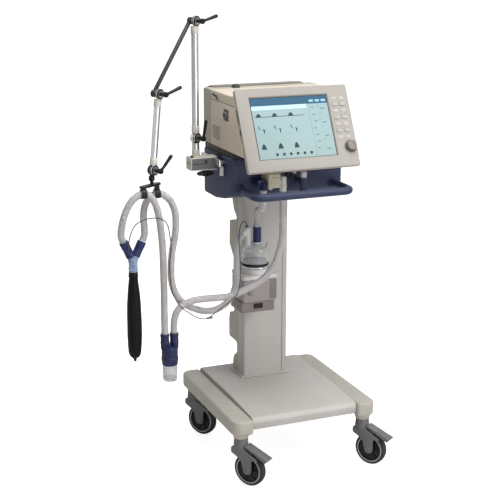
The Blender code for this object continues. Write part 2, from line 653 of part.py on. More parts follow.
def support_arm(trolley):
    clamp = piece("rail_clamp", box((-0.336, 0.022, 1.1260), (-0.2308, 0.078, 1.1750), 0.003), ZINC, trolley)
    outer = -HOUSING_HALF - 0.026
    cut(clamp, box((outer - GAP, 0.0, 1.1445 - GAP), (outer + 0.010 + GAP, 0.1, 1.1695 + GAP)))
    cut(clamp, box((outer, 0.0, 1.1500), (-0.2, 0.1, 1.1640)))
    cut(clamp, rod((ARM_X, ARM_Y, 1.130), (ARM_X, ARM_Y, 1.2), TUBE_RADIUS + GAP, 24))
    join(clamp, rod((-0.270, ARM_Y, 1.130), (-0.270, ARM_Y, 1.1206), 0.006, 16))

    wing = rounded([(-0.302, 1.104), (-0.302, 1.116), (-0.280, 1.1202), (-0.260, 1.1202), (-0.238, 1.116),
                    (-0.238, 1.104), (-0.262, 1.100), (-0.278, 1.100)], 0.004, 2)
    piece("clamp_knob", prism(wing, "Y", ARM_Y - 0.007, ARM_Y + 0.007), BLACK, trolley, (-0.270, ARM_Y, 1.110))

    arm = empty("support_arm", trolley, (ARM_X, ARM_Y, 0), (0, 0, ARM_TURN))
    x0, z0 = BASE_JOINT
    x1, z1 = TOP_JOINT
    stub = piece("arm_stub", rod((0, 0, 1.1303), (0, 0, z0 - NECK), TUBE_RADIUS), STEEL, arm)
    join(stub, cheek(BASE_JOINT, -1), neck(BASE_JOINT, (x0, 0), -1))

    post_line = rod((0, 0, z0 + NECK), (0, 0, z1 - NECK), TUBE_RADIUS)
    post = piece("arm_post", post_line, STEEL, arm, (x0, 0, z0))
    join(post, cheek(BASE_JOINT, 1), neck(BASE_JOINT, TOP_JOINT, 1))
    join(post, cheek(TOP_JOINT, 1), neck(TOP_JOINT, BASE_JOINT, 1))

    x2, z2 = MIDDLE_JOINT
    centre = -0.0215
    boom_line = rod((x1, centre, z1), (x2, centre, z2), BOOM_RADIUS, 16)
    boom = piece("arm_boom", boom_line, DARK_GREY, arm, (x1, 0, z1))
    join(boom, cheek(TOP_JOINT, -1, 0.013, 0.026), cheek(MIDDLE_JOINT, -1, 0.013, 0.026))

    x3, z3 = LOW_JOINT
    along = (Vector((x3, z3)) - Vector((x2, z2))).normalized()
    start = Vector((x2, z2)) + NECK * along
    end = Vector((x3, z3)) - NECK * along
    drop_line = rod((start.x, 0, start.y), (end.x, 0, end.y), 0.012)
    drop = piece("arm_drop_tube", drop_line, STEEL, arm, (x2, 0, z2))
    join(drop, cheek(MIDDLE_JOINT, 1), neck(MIDDLE_JOINT, LOW_JOINT, 1))
    join(drop, cheek(LOW_JOINT, 1), neck(LOW_JOINT, MIDDLE_JOINT, 1))

    levers = {
        "base": (BASE_JOINT, 0),
        "top": (TOP_JOINT, -76),
        "middle": (MIDDLE_JOINT, -72),
        "low": (LOW_JOINT, -40),
    }
    for name, (joint, lean) in levers.items():
        lock_lever(f"{name}_lock_lever", arm, joint, math.radians(lean))
    return arm


def hose_holder(trolley, arm):
    """The swinging bracket with two snap rings that hold the hoses."""
    turn = Matrix.Translation((ARM_X, ARM_Y, 0)) @ Matrix.Rotation(ARM_TURN, 4, "Z")
    pivot = turn @ Vector((LOW_JOINT[0], 0, LOW_JOINT[1]))
    disc = cheek(LOW_JOINT, -1)
    disc.transform(turn)
    holder = piece("hose_holder", disc, BLACK, trolley, pivot)
    x = pivot.x - 0.0035
    y = pivot.y + 0.006
    join(holder, rod((x, y, pivot.z - 0.010), (x, y, 1.108), 0.0065, 16))
    join(holder, box((-0.566, -0.106, 1.1040), (-0.482, -0.044, 1.1120), 0.002))
    for ring_x, ring_y, ring_z in ((-0.555, -0.096, 1.083), (-0.492, -0.053, 1.071)):
        ring = [(0.0172, -0.004), (0.0202, -0.004), (0.0202, 0.004), (0.0172, 0.004)]
        across = Matrix.Translation((ring_x, ring_y, ring_z)) @ Matrix.Rotation(math.pi / 2, 4, "Y")
        join(holder, turned(ring, 28, across))
        low = (ring_x - 0.006, ring_y - 0.008, ring_z + 0.0186)
        join(holder, box(low, (ring_x + 0.006, ring_y + 0.008, 1.106)))


# ---------------------------------------------------------------- breathing circuit


def breathing_circuit(trolley):
    y = Y_PIECE_Y
    stem = rod((-0.593, y, 0.8000), (-0.593, y, 0.856), 0.0175, 24)
    fork = piece("y_piece", stem, PALE_BLUE, trolley)
    join(fork, rod((-0.598, y, 0.838), (-0.6285, -0.0800, 0.9127), 0.0165, 24))
    join(fork, rod((-0.588, y, 0.838), (-0.5556, -0.0680, 0.9060), 0.0165, 24))

    bag = [
        (0, 0.450), (0.006, 0.462), (0.018, 0.474), (0.025, 0.490), (0.029, 0.560), (0.030, 0.640),
        (0.025, 0.730), (0.020, 0.755), (0.0175, 0.765), (0.0175, 0.7997), (0, 0.7997),
    ]
    piece("test_lung", turned(bag, 28, Matrix.Translation((-0.593, y, 0))), BLACK, trolley)

    trap = [(0, 0.4400), (0.027, 0.4400), (0.0315, 0.455), (0.0315, 0.505), (0.028, 0.515), (0, 0.515)]
    head = piece("water_trap_head", turned(trap, 28, Matrix.Translation((-0.469, TRAP_Y, 0))), BLUE, trolley)
    for x in (-0.487, -0.451):
        join(head, rod((x, TRAP_Y, 0.505), (x, TRAP_Y, 0.5600), 0.0165, 24))
    cup = [(0, 0.3780), (0.022, 0.3780), (0.026, 0.384), (0.0265, 0.4397), (0, 0.4397)]
    placed = turned(cup, 28, Matrix.Translation((-0.469, TRAP_Y, 0)))
    piece("water_trap_cup", placed, CLEAR, trolley, (-0.469, TRAP_Y, 0.44))

    spacing = 0.034
    routes = {
        "expiratory_hose": EXPIRATORY_ROUTE,
        "inspiratory_hose": INSPIRATORY_ROUTE,
        "trap_return_hose": RETURN_ROUTE,
        "humidifier_feed_hose": FEED_ROUTE,
    }
    for name, route in routes.items():
        hose(name, smooth_route(route, spacing), HOSE_RADIUS, HOSE_GREY, trolley, 2)
    hose("temperature_cable", smooth_route(CABLE_ROUTE, 0.024), CABLE_RADIUS, DARK_GREY, trolley, 2)


def main():
    for old in list(bpy.data.objects):
        bpy.data.objects.remove(old)
    trolley = empty("ventilator", None, (TROLLEY_X, TROLLEY_Y, 0))
    for side in (-1, 1):
        for end in (-1, 1):
            name, stem = castor(side, end, trolley)
            if end < 0:
                brake_pedal(name, stem)
        base_skirt(side, trolley)
    base_platform(trolley)
    chassis_frame(trolley)
    column(trolley)
    lower_housing(trolley)
    body(trolley)
    display(trolley)
    gas_ports(trolley)
    humidifier(trolley)
    arm = support_arm(trolley)
    hose_holder(trolley, arm)
    breathing_circuit(trolley)


main()
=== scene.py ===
# %% [markdown]
# A hospital ventilator on its trolley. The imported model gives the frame: every moving body, and a plain
# solid for each piece. This lesson builds the fine pieces and finishes around it, one cell at a time.

# %% load the frame
import json
import math

import bpy
import numpy as np
from mathutils import Matrix, Vector

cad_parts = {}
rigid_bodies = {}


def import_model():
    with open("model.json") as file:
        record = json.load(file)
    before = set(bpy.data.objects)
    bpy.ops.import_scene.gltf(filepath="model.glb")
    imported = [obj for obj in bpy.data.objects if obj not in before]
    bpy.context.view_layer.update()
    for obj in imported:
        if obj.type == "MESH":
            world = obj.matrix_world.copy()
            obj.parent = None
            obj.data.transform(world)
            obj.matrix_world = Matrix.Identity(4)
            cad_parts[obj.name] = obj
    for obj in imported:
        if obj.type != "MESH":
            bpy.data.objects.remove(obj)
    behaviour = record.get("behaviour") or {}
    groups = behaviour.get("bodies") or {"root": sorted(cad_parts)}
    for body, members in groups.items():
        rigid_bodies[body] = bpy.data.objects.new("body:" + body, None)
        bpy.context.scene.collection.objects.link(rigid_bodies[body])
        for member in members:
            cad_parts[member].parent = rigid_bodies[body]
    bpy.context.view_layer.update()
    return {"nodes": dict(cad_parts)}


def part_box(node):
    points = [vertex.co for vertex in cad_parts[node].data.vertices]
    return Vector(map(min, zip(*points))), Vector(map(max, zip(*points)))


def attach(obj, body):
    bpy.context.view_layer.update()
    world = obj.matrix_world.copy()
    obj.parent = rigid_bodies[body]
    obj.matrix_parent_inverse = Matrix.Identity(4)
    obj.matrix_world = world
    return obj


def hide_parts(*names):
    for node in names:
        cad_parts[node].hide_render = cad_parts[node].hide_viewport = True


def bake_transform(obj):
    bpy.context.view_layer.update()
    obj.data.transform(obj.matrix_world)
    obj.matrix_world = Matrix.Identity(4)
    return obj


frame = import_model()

# %% [markdown]
# Most sizes are easiest to think of from the middle of the trolley's floor plan, because the trolley is
# symmetric there. The column cover stands on that middle, so the frame itself says where it is.

# %% the trolley's own frame
COLUMN_FRONT = 0.109
column_low, column_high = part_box("column_cover")
TROLLEY = Vector(((column_low.x + column_high.x) / 2, column_low.y - COLUMN_FRONT, 0))
PLACE = Matrix.Translation(TROLLEY)
print("trolley middle", [round(value, 4) for value in TROLLEY])

# %% [markdown]
# The camera stands a little above the machine and to its left, far enough away that the upright lines
# stay nearly parallel. A long lens then fills the square frame with the machine.

# %% camera
camera_data = bpy.data.cameras.new("camera")
camera_data.lens = 87.0
camera_data.sensor_width = 36.0
camera = bpy.data.objects.new("camera", camera_data)
bpy.context.scene.collection.objects.link(camera)
camera.location = TROLLEY + Vector((-1.787, -4.067, 1.981))
camera.rotation_euler = (math.radians(75.13), math.radians(-0.14), math.radians(-22.35))
bpy.context.scene.camera = camera

# %% [markdown]
# The machine stands in a white studio: a pale floor, a bright and even surround, one large soft light
# from the front right that leaves the left sides in half shade, a lower one from the front, and one from
# above.

# %% floor and lights
bpy.context.scene.view_settings.view_transform = "Standard"
bpy.ops.mesh.primitive_plane_add(size=60, location=(0, 0, -0.0004))
floor = bpy.context.object
floor.name = "studio_floor"
world = bpy.data.worlds.new("studio")
bpy.context.scene.world = world
world.use_nodes = True
air = world.node_tree
kind_of_ray = air.nodes.new("ShaderNodeLightPath")
SEEN, MIRRORED, LIGHTING = 1.1, 0.85, 0.33
seen = air.nodes.new("ShaderNodeMapRange")
seen.inputs["To Min"].default_value = LIGHTING
seen.inputs["To Max"].default_value = MIRRORED
air.links.new(kind_of_ray.outputs["Is Glossy Ray"], seen.inputs["Value"])
brightness = air.nodes.new("ShaderNodeMix")
air.links.new(kind_of_ray.outputs["Is Camera Ray"], brightness.inputs[0])
air.links.new(seen.outputs["Result"], brightness.inputs[2])
brightness.inputs[3].default_value = SEEN
air.nodes["Background"].inputs["Color"].default_value = (1.0, 1.0, 1.0, 1.0)
air.links.new(brightness.outputs[0], air.nodes["Background"].inputs["Strength"])


def soft_light(name, place, aim, size, power):
    light = bpy.data.lights.new(name, "AREA")
    light.shape = "DISK"
    light.size = size
    light.energy = power
    lamp = bpy.data.objects.new(name, light)
    bpy.context.scene.collection.objects.link(lamp)
    lamp.location = place
    lamp.rotation_euler = (Vector(aim) - Vector(place)).to_track_quat("-Z", "Y").to_euler()
    return lamp


soft_light("key_light", (2.5, -3.0, 3.7), (0, 0, 0.9), 2.0, 84)
soft_light("front_light", (0.9, -4.4, 0.9), (0, 0, 0.8), 2.6, 42)
soft_light("top_light", (0.2, -0.9, 4.2), (0, 0, 0.8), 2.4, 105)
print("lights", [light.name for light in bpy.data.lights])

# %% [markdown]
# Every finish here is a plain shader with a little life in it. Three effects are shared: a fine grain for
# moulded and cast surfaces, a slow drift of colour, and dust that settles on what faces up. Each is a node
# group, built once, that puts out only masks and heights; each material gives it its own values.

# %% shader groups


def new_group(name, inputs, outputs):
    group = bpy.data.node_groups.new(name, "ShaderNodeTree")
    for label, value in inputs:
        socket = group.interface.new_socket(label, in_out="INPUT", socket_type="NodeSocketFloat")
        socket.default_value = value
    for label in outputs:
        group.interface.new_socket(label, in_out="OUTPUT", socket_type="NodeSocketFloat")
    start = group.nodes.new("NodeGroupInput")
    end = group.nodes.new("NodeGroupOutput")
    return group, start, end


def noise_of(tree, vector, scale, detail, label):
    node = tree.nodes.new("ShaderNodeTexNoise")
    node.label = label
    node.inputs["Detail"].default_value = detail
    tree.links.new(vector, node.inputs["Vector"])
    if isinstance(scale, bpy.types.NodeSocket):
        tree.links.new(scale, node.inputs["Scale"])
    else:
        node.inputs["Scale"].default_value = scale
    return node.outputs["Fac"]


def ranged(tree, value, low, high, to_low=0.0, to_high=1.0):
    node = tree.nodes.new("ShaderNodeMapRange")
    tree.links.new(value, node.inputs["Value"])
    for socket, number in (("From Min", low), ("From Max", high), ("To Min", to_low), ("To Max", to_high)):
        node.inputs[socket].default_value = number
    return node.outputs["Result"]


def maths(tree, operation, first, second):
    node = tree.nodes.new("ShaderNodeMath")
    node.operation = operation
    for socket, value in zip(node.inputs, (first, second)):
        if isinstance(value, (int, float)):
            socket.default_value = value
        else:
            tree.links.new(value, socket)
    return node.outputs[0]


grain_group, start, end = new_group("moulding grain", [("Size", 900.0)], ["Height", "Drift", "Scuff"])
place = grain_group.nodes.new("ShaderNodeTexCoord").outputs["Object"]
fine = noise_of(grain_group, place, start.outputs["Size"], 3.0, "mould texture")
slow = noise_of(grain_group, place, 7.0, 3.0, "slow colour drift")
rubbed = noise_of(grain_group, place, 46.0, 5.0, "handling marks")
grain_group.links.new(fine, end.inputs["Height"])
grain_group.links.new(ranged(grain_group, slow, 0.3, 0.7), end.inputs["Drift"])
grain_group.links.new(ranged(grain_group, rubbed, 0.56, 0.74), end.inputs["Scuff"])

dust_group, start, end = new_group("settled dust", [("Amount", 0.3)], ["Mask"])
geometry = dust_group.nodes.new("ShaderNodeNewGeometry")
split = dust_group.nodes.new("ShaderNodeSeparateXYZ")
dust_group.links.new(geometry.outputs["Normal"], split.inputs["Vector"])
place = dust_group.nodes.new("ShaderNodeTexCoord").outputs["Object"]
upward = ranged(dust_group, split.outputs["Z"], 0.55, 0.98)
cloudy = ranged(dust_group, noise_of(dust_group, place, 24.0, 6.0, "dust clouds"), 0.35, 0.7)
shown = maths(dust_group, "MULTIPLY", maths(dust_group, "MULTIPLY", upward, cloudy), start.outputs["Amount"])
dust_group.links.new(shown, end.inputs["Mask"])

brush_group, start, end = new_group("drawn lines", [("Fineness", 260.0)], ["Height", "Tone"])
place = brush_group.nodes.new("ShaderNodeTexCoord").outputs["Object"]
squeeze = brush_group.nodes.new("ShaderNodeMapping")
squeeze.inputs["Scale"].default_value = (1.0, 1.0, 0.03)
brush_group.links.new(place, squeeze.inputs["Vector"])
lines = noise_of(brush_group, squeeze.outputs["Vector"], start.outputs["Fineness"], 4.0,
                 "lines along the tube")
brush_group.links.new(lines, end.inputs["Height"])
brush_group.links.new(ranged(brush_group, lines, 0.3, 0.7), end.inputs["Tone"])
print("groups", [group.name for group in bpy.data.node_groups])

# %% [markdown]
# A finish starts from the colour the real surface has in soft light. The helper below adds the drift,
# the scuffs and the dust to that colour and the grain to the surface. Numbers that are the same all over
# are set straight on the shader.

# %% finishes


def mixed(tree, mask, first, second):
    node = tree.nodes.new("ShaderNodeMix")
    node.data_type = "RGBA"
    tree.links.new(mask, node.inputs[0])
    for socket, value in ((node.inputs[6], first), (node.inputs[7], second)):
        if isinstance(value, tuple):
            socket.default_value = (*value, 1.0)
        else:
            tree.links.new(value, socket)
    return node.outputs[2]


def finish(name, colour, roughness, grain=900.0, relief=0.05, drift=0.06, dust=0.12, metallic=0.0, **fixed):
    """A moulded, cast or painted finish; fixed holds plain values for the shader's other sockets."""
    made = bpy.data.materials.new(name)
    made.use_nodes = True
    tree = made.node_tree
    shader = tree.nodes["Principled BSDF"]
    skin = tree.nodes.new("ShaderNodeGroup")
    skin.node_tree = grain_group
    skin.inputs["Size"].default_value = grain
    dusty = tree.nodes.new("ShaderNodeGroup")
    dusty.node_tree = dust_group
    dusty.inputs["Amount"].default_value = dust
    darker = tuple(part * (1 - drift) for part in colour)
    lighter = tuple(min(1.0, part * (1 + drift)) for part in colour)
    base = mixed(tree, skin.outputs["Drift"], darker, lighter)
    scuffed = maths(tree, "MULTIPLY", skin.outputs["Scuff"], 0.10)
    base = mixed(tree, scuffed, base, tuple(min(1.0, part * 1.25 + 0.02) for part in colour))
    base = mixed(tree, dusty.outputs["Mask"], base, (0.52, 0.50, 0.46))
    tree.links.new(base, shader.inputs["Base Color"])
    worn = ranged(tree, skin.outputs["Scuff"], 0.0, 1.0, roughness, min(1.0, roughness + 0.14))
    tree.links.new(worn, shader.inputs["Roughness"])
    shader.inputs["Metallic"].default_value = metallic
    for socket, value in fixed.items():
        shader.inputs[socket.replace("_", " ")].default_value = value
    bump = tree.nodes.new("ShaderNodeBump")
    bump.inputs["Strength"].default_value = relief
    bump.inputs["Distance"].default_value = 0.0006
    tree.links.new(skin.outputs["Height"], bump.inputs["Height"])
    tree.links.new(bump.outputs["Normal"], shader.inputs["Normal"])
    return made


def drawn_metal(name, colour, roughness, fineness=260.0):
    made = bpy.data.materials.new(name)
    made.use_nodes = True
    tree = made.node_tree
    shader = tree.nodes["Principled BSDF"]
    shader.inputs["Metallic"].default_value = 1.0
    lines = tree.nodes.new("ShaderNodeGroup")
    lines.node_tree = brush_group
    lines.inputs["Fineness"].default_value = fineness
    tone = mixed(tree, lines.outputs["Tone"], tuple(part * 0.9 for part in colour), colour)
    tree.links.new(tone, shader.inputs["Base Color"])
    rough = ranged(tree, lines.outputs["Tone"], 0.0, 1.0, roughness, roughness + 0.12)
    tree.links.new(rough, shader.inputs["Roughness"])
    bump = tree.nodes.new("ShaderNodeBump")
    bump.inputs["Strength"].default_value = 0.12
    bump.inputs["Distance"].default_value = 0.0003
    tree.links.new(lines.outputs["Height"], bump.inputs["Height"])
    tree.links.new(bump.outputs["Normal"], shader.inputs["Normal"])
    return made


def clear(name, colour, roughness, index, tint_mix=0.0):
    """Clear or milky plastic: a transmitting shader whose faint haze drifts over the surface."""
    made = bpy.data.materials.new(name)
    made.use_nodes = True
    tree = made.node_tree
    shader = tree.nodes["Principled BSDF"]
    shader.inputs["Transmission Weight"].default_value = 1.0 - tint_mix
    shader.inputs["IOR"].default_value = index
    skin = tree.nodes.new("ShaderNodeGroup")
    skin.node_tree = grain_group
    base = mixed(tree, skin.outputs["Drift"], tuple(part * 0.96 for part in colour), colour)
    tree.links.new(base, shader.inputs["Base Color"])
    hazy = ranged(tree, skin.outputs["Drift"], 0.0, 1.0, roughness, roughness + 0.06)
    tree.links.new(hazy, shader.inputs["Roughness"])
    return made


LOOK = {
    "beige": finish("beige moulding", (0.285, 0.266, 0.238), 0.42, drift=0.03),
    # The case, lid and screen back are the bezel's beige plastic; this copy is made lighter to lift the shade
    # on their left sides: painted light.
    "beige_lightened_for_shade": finish("beige case moulding lightened against shade", (0.64, 0.55, 0.44), 0.46, drift=0.04),
    # The olive grey is the tone of the shade on the left sides of the column and the body: painted shade.
    "olive": finish("olive grey painted shade", (0.4, 0.375, 0.31), 0.5, drift=0.05),
    "warm_grey": finish("warm grey moulding", (0.48, 0.455, 0.43), 0.48, drift=0.04),
    "skirt": finish("pale grey moulding", (0.41, 0.385, 0.335), 0.48, drift=0.05, dust=0.2),
    "navy": finish("navy moulding", (0.036, 0.043, 0.088), 0.42, drift=0.12, dust=0.02, relief=0.1,
                   Specular_IOR_Level=0.2),
    "dark": finish("dark grey moulding", (0.03, 0.03, 0.032), 0.5, drift=0.1, Specular_IOR_Level=0.3),
    "black": finish("black moulding", (0.006, 0.006, 0.0065), 0.38, drift=0.2, dust=0.02,
                    Specular_IOR_Level=0.25),
    "rubber": finish("tyre rubber", (0.018, 0.017, 0.018), 0.7, 700.0, 0.16, 0.2, 0.14),
    "ring": finish("grey wheel ring", (0.36, 0.36, 0.36), 0.45, drift=0.06),
    "casting": finish("grey painted casting", (0.125, 0.122, 0.118), 0.48, 500.0, 0.12, 0.1, 0.1),
    "zinc": finish("bead-blasted zinc", (0.60, 0.57, 0.50), 0.5, 1400.0, 0.2, 0.06, 0.08, 0.0),
    "steel": drawn_metal("drawn steel tube", (0.70, 0.70, 0.70), 0.26),
    "bright": drawn_metal("turned bright metal", (0.80, 0.80, 0.79), 0.2, 420.0),
    "hose": clear("milky hose wall", (0.74, 0.72, 0.715), 0.24, 1.25, 0.45),
    "blue": finish("deep blue moulding", (0.010, 0.014, 0.065), 0.3, drift=0.15, dust=0.0,
                   Specular_IOR_Level=0.35),
    "cuff_blue": finish("blue hose cuff", (0.012, 0.019, 0.085), 0.32, drift=0.15, dust=0.0,
                        Specular_IOR_Level=0.35),
    "pale_blue": clear("pale blue connector", (0.42, 0.58, 0.78), 0.12, 1.3, 0.45),
    "cream": finish("cream moulding", (0.5, 0.47, 0.36), 0.4, drift=0.05),
    "white": finish("white moulding", (0.62, 0.61, 0.6), 0.38, drift=0.03),
    "heater": finish("pale pink-grey moulding", (0.29, 0.25, 0.255), 0.42, drift=0.04),
    "heater_low": finish("taupe moulding", (0.19, 0.16, 0.145), 0.45, drift=0.05),
    "knob": finish("pink-grey knob", (0.14, 0.115, 0.11), 0.4, drift=0.06, Coat_Weight=0.15),
    "bag": finish("black bag rubber", (0.003, 0.003, 0.0034), 0.45, 340.0, 0.22, 0.3, 0.0,
                  Specular_IOR_Level=0.16),
    "cable": finish("cable jacket", (0.06, 0.055, 0.05), 0.45, drift=0.2, dust=0.0),
    "clear": clear("clear moulding", (0.96, 0.97, 0.98), 0.05, 1.30, 0.12),
    "lid_edge": finish("grey-brown lid edge", (0.20, 0.185, 0.165), 0.5, drift=0.06),
    "key": finish("keypad key", (0.4, 0.375, 0.34), 0.4, drift=0.03),
    "key_mark": finish("keypad mark", (0.28, 0.25, 0.22), 0.5, drift=0.05),
    # Painted shade: the dark of seams, recesses and slots, laid on as a colour.
    "groove": finish("shadow groove", (0.10, 0.092, 0.08), 0.7, drift=0.1, dust=0.0),
}
floor_look = finish("pale floor", (0.80, 0.80, 0.80), 0.6, 60.0, 0.0, 0.01, 0.0, Emission_Color=(1, 1, 1, 1))
# the floor glows for the eye only, so that it stays white without lighting the machine from below
eye = floor_look.node_tree.nodes.new("ShaderNodeLightPath")
glow = maths(floor_look.node_tree, "MULTIPLY", eye.outputs["Is Camera Ray"], 0.80)
floor_look.node_tree.links.new(glow,
                               floor_look.node_tree.nodes["Principled BSDF"].inputs["Emission Strength"])
floor.data.materials.append(floor_look)
print("finishes", len(LOOK))

# %% [markdown]
# The modelling tools come next. Each works the way a person would by hand: select only one thing, add a
# primitive or a drawn outline, shape it in edit mode, then finish it with a modifier that is applied. The
# last helper colours a piece, puts it in its place and says which moving body it belongs to.

# %% modelling helpers


def only(piece):
    """Selects this one object and nothing else."""
    if bpy.context.mode != "OBJECT":
        bpy.ops.object.mode_set(mode="OBJECT")
    for other in bpy.context.view_layer.objects:
        if other.visible_get():
            other.select_set(False)
    piece.select_set(True)
    bpy.context.view_layer.objects.active = piece


def apply_bevel(piece, width, steps=3, angle=30):
    only(piece)
    change = piece.modifiers.new("soft edges", "BEVEL")
    change.width = width
    change.segments = steps
    change.limit_method = "ANGLE"
    change.angle_limit = math.radians(angle)
    change.harden_normals = False
    bpy.ops.object.modifier_apply(modifier=change.name)


def from_points(name, points, edges=(), faces=()):
    mesh = bpy.data.meshes.new(name)
    mesh.from_pydata([tuple(point) for point in points], list(edges), list(faces))
    piece = bpy.data.objects.new(name, mesh)
    bpy.context.scene.collection.objects.link(piece)
    only(piece)
    return piece


def block(name, low, high, soft=0.003, steps=3):
    """A box between two corners, its edges rounded."""
    middle = (Vector(low) + Vector(high)) / 2
    # The floor is picked and let go again, so that nothing stays selected beside the new cube.
    only(floor)
    floor.select_set(False)
    bpy.ops.mesh.primitive_cube_add(size=1, location=middle)
    piece = bpy.context.object
    piece.name = name
    piece.scale = Vector(high) - Vector(low)
    bpy.ops.object.transform_apply(location=True, rotation=True, scale=True)
    if soft:
        apply_bevel(piece, soft, steps)
    return piece


def drawn(name, outline, axis, low, high, soft=0.0, steps=3, angle=30):
    """An outline drawn across an axis and extruded along it; outlines on X are (y, z), on Y (x, z)."""
    order = {"X": (2, 0, 1), "Y": (0, 2, 1), "Z": (0, 1, 2)}[axis]
    corners = [[(first, second, low)[place] for place in order] for first, second in outline]
    piece = from_points(name, corners, faces=[tuple(range(len(corners)))])
    along = [(0, 0, high - low)[place] for place in order]
    bpy.ops.object.mode_set(mode="EDIT")
    bpy.ops.mesh.select_all(action="SELECT")
    bpy.ops.mesh.extrude_region_move(TRANSFORM_OT_translate={"value": along})
    bpy.ops.mesh.select_all(action="SELECT")
    bpy.ops.mesh.normals_make_consistent(inside=False)
    bpy.ops.object.mode_set(mode="OBJECT")
    if soft:
        apply_bevel(piece, soft, steps, angle)
    return piece


def lathed(name, profile, segments=48, place=None):
    """A profile of (radius, height) points spun round Z, closed at the poles, then put in place."""
    points = [(radius, 0, height) for radius, height in profile]
    edges = [(index, index + 1) for index in range(len(points) - 1)]
    if profile[0][0] > 0:
        edges.append((len(points) - 1, 0))
    piece = from_points(name, points, edges)
    bpy.ops.object.mode_set(mode="EDIT")
    bpy.ops.mesh.select_all(action="SELECT")
    bpy.ops.mesh.spin(steps=segments, angle=math.tau, center=(0, 0, 0), axis=(0, 0, 1))
    bpy.ops.mesh.select_all(action="SELECT")
    bpy.ops.mesh.remove_doubles(threshold=1e-6)
    bpy.ops.mesh.normals_make_consistent(inside=False)
    bpy.ops.object.mode_set(mode="OBJECT")
    if place is not None:
        piece.data.transform(place)
    return piece


def rounded(corners, radius, steps=6):
    """The closed outline with an arc at each corner; a third number gives a corner its own radius."""
    outline = []
    for index, corner in enumerate(corners):
        here = Vector(corner[:2])
        back = Vector(corners[index - 1][:2]) - here
        ahead = Vector(corners[(index + 1) % len(corners)][:2]) - here
        half = back.angle(ahead) / 2
        wanted = corner[2] if len(corner) == 3 else radius
        cut = min(wanted / math.tan(half), 0.49 * back.length, 0.49 * ahead.length)
        if cut < 1e-5 or half > math.radians(89):
            outline.append(tuple(here))
            continue
        arc = cut * math.tan(half)
        centre = here + (back.normalized() + ahead.normalized()).normalized() * arc / math.sin(half)
        first = (here + back.normalized() * cut - centre).normalized()
        last = (here + ahead.normalized() * cut - centre).normalized()
        outline += [tuple(centre + arc * first.slerp(last, step / steps)) for step in range(steps + 1)]
    return outline


def rectangle(low, high, radius, steps=6):
    return rounded([(low[0], low[1]), (high[0], low[1]), (high[0], high[1]), (low[0], high[1])], radius,
                   steps)


def aimed(start, end):
    turn = (Vector(end) - Vector(start)).to_track_quat("Z", "Y")
    return Matrix.Translation(start) @ turn.to_matrix().to_4x4()


def bar(name, start, end, radius, end_radius=None, soft=0.001, segments=32):
    """A round bar with eased rims, from start to end."""
    last = radius if end_radius is None else end_radius
    length = (Vector(end) - Vector(start)).length
    profile = [(0, 0), (radius - soft, 0), (radius - soft * 0.3, soft * 0.3), (radius, soft),
               (last, length - soft), (last - soft * 0.3, length - soft * 0.3), (last - soft, length),
               (0, length)]
    return lathed(name, profile, segments, aimed(start, end))


def cut_away(piece, *tools):
    """Boolean cuts, applied; the cutters are removed afterwards."""
    for tool in tools:
        only(piece)
        change = piece.modifiers.new("cut", "BOOLEAN")
        change.operation = "DIFFERENCE"
        change.object = tool
        bpy.ops.object.modifier_apply(modifier=change.name)
        bpy.data.objects.remove(tool)
    return piece


def together(name, pieces):
    only(pieces[0])
    for other in pieces[1:]:
        other.select_set(True)
    bpy.ops.object.join()
    pieces[0].name = name
    return pieces[0]


def copy_of(piece, name, place):
    made = bpy.data.objects.new(name, piece.data.copy())
    bpy.context.scene.collection.objects.link(made)
    made.data.transform(place)
    return made


def softened(node, name, width, steps=2, angle=32):
    """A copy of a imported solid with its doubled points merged, its flat faces whole and its edges eased."""
    source = frame["nodes"][node]
    made = bpy.data.objects.new(name, source.data.copy())
    made.data.materials.clear()
    bpy.context.scene.collection.objects.link(made)
    only(made)
    bpy.ops.object.mode_set(mode="EDIT")
    bpy.ops.mesh.select_all(action="SELECT")
    bpy.ops.mesh.remove_doubles(threshold=2e-5)
    bpy.ops.mesh.dissolve_limited(angle_limit=math.radians(1.0))
    bpy.ops.object.mode_set(mode="OBJECT")
    if width:
        apply_bevel(made, width, steps, angle)
    made.data.transform(PLACE.inverted())
    return made


made_pieces = []


def settle(piece, look, body, replaces=(), place=PLACE, smooth=34):
    """Colours a piece, puts it where it belongs and joins it to its moving body."""
    piece.data.materials.clear()
    piece.data.materials.append(LOOK[look])
    piece.data.transform(place)
    only(piece)
    bpy.ops.object.shade_smooth_by_angle(angle=math.radians(smooth))
    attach(piece, body)
    if replaces:
        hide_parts(*replaces)
    made_pieces.append(piece.name)
    return piece


def repaint(node, look):
    """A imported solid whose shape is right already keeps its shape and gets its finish."""
    frame["nodes"][node].data.materials.clear()
    frame["nodes"][node].data.materials.append(LOOK[look])


print("helpers ready")

# %% [markdown]
# Castors. Each turns on a stem and rolls on an axle, 55 degrees off the trolley's long side at rest. The
# wheel is three pieces: a dark tyre, a thin pale ring where the tyre meets the wheel, and a black dished
# hub. The fork is a casting with a hood over the wheel. One of each is modelled, then copied to the stems.

# %% one castor wheel
CASTOR_TRAIL = 0.040
WHEEL_RADIUS = 0.0625
AXLE = Matrix.Translation((CASTOR_TRAIL, 0, WHEEL_RADIUS)) @ Matrix.Rotation(math.radians(-90), 4, "X")


def two_sided(profile):
    """A half profile from the middle plane outwards, mirrored so that both faces match."""
    return [(radius, -depth) for radius, depth in profile] + [(r, d) for r, d in reversed(profile)]


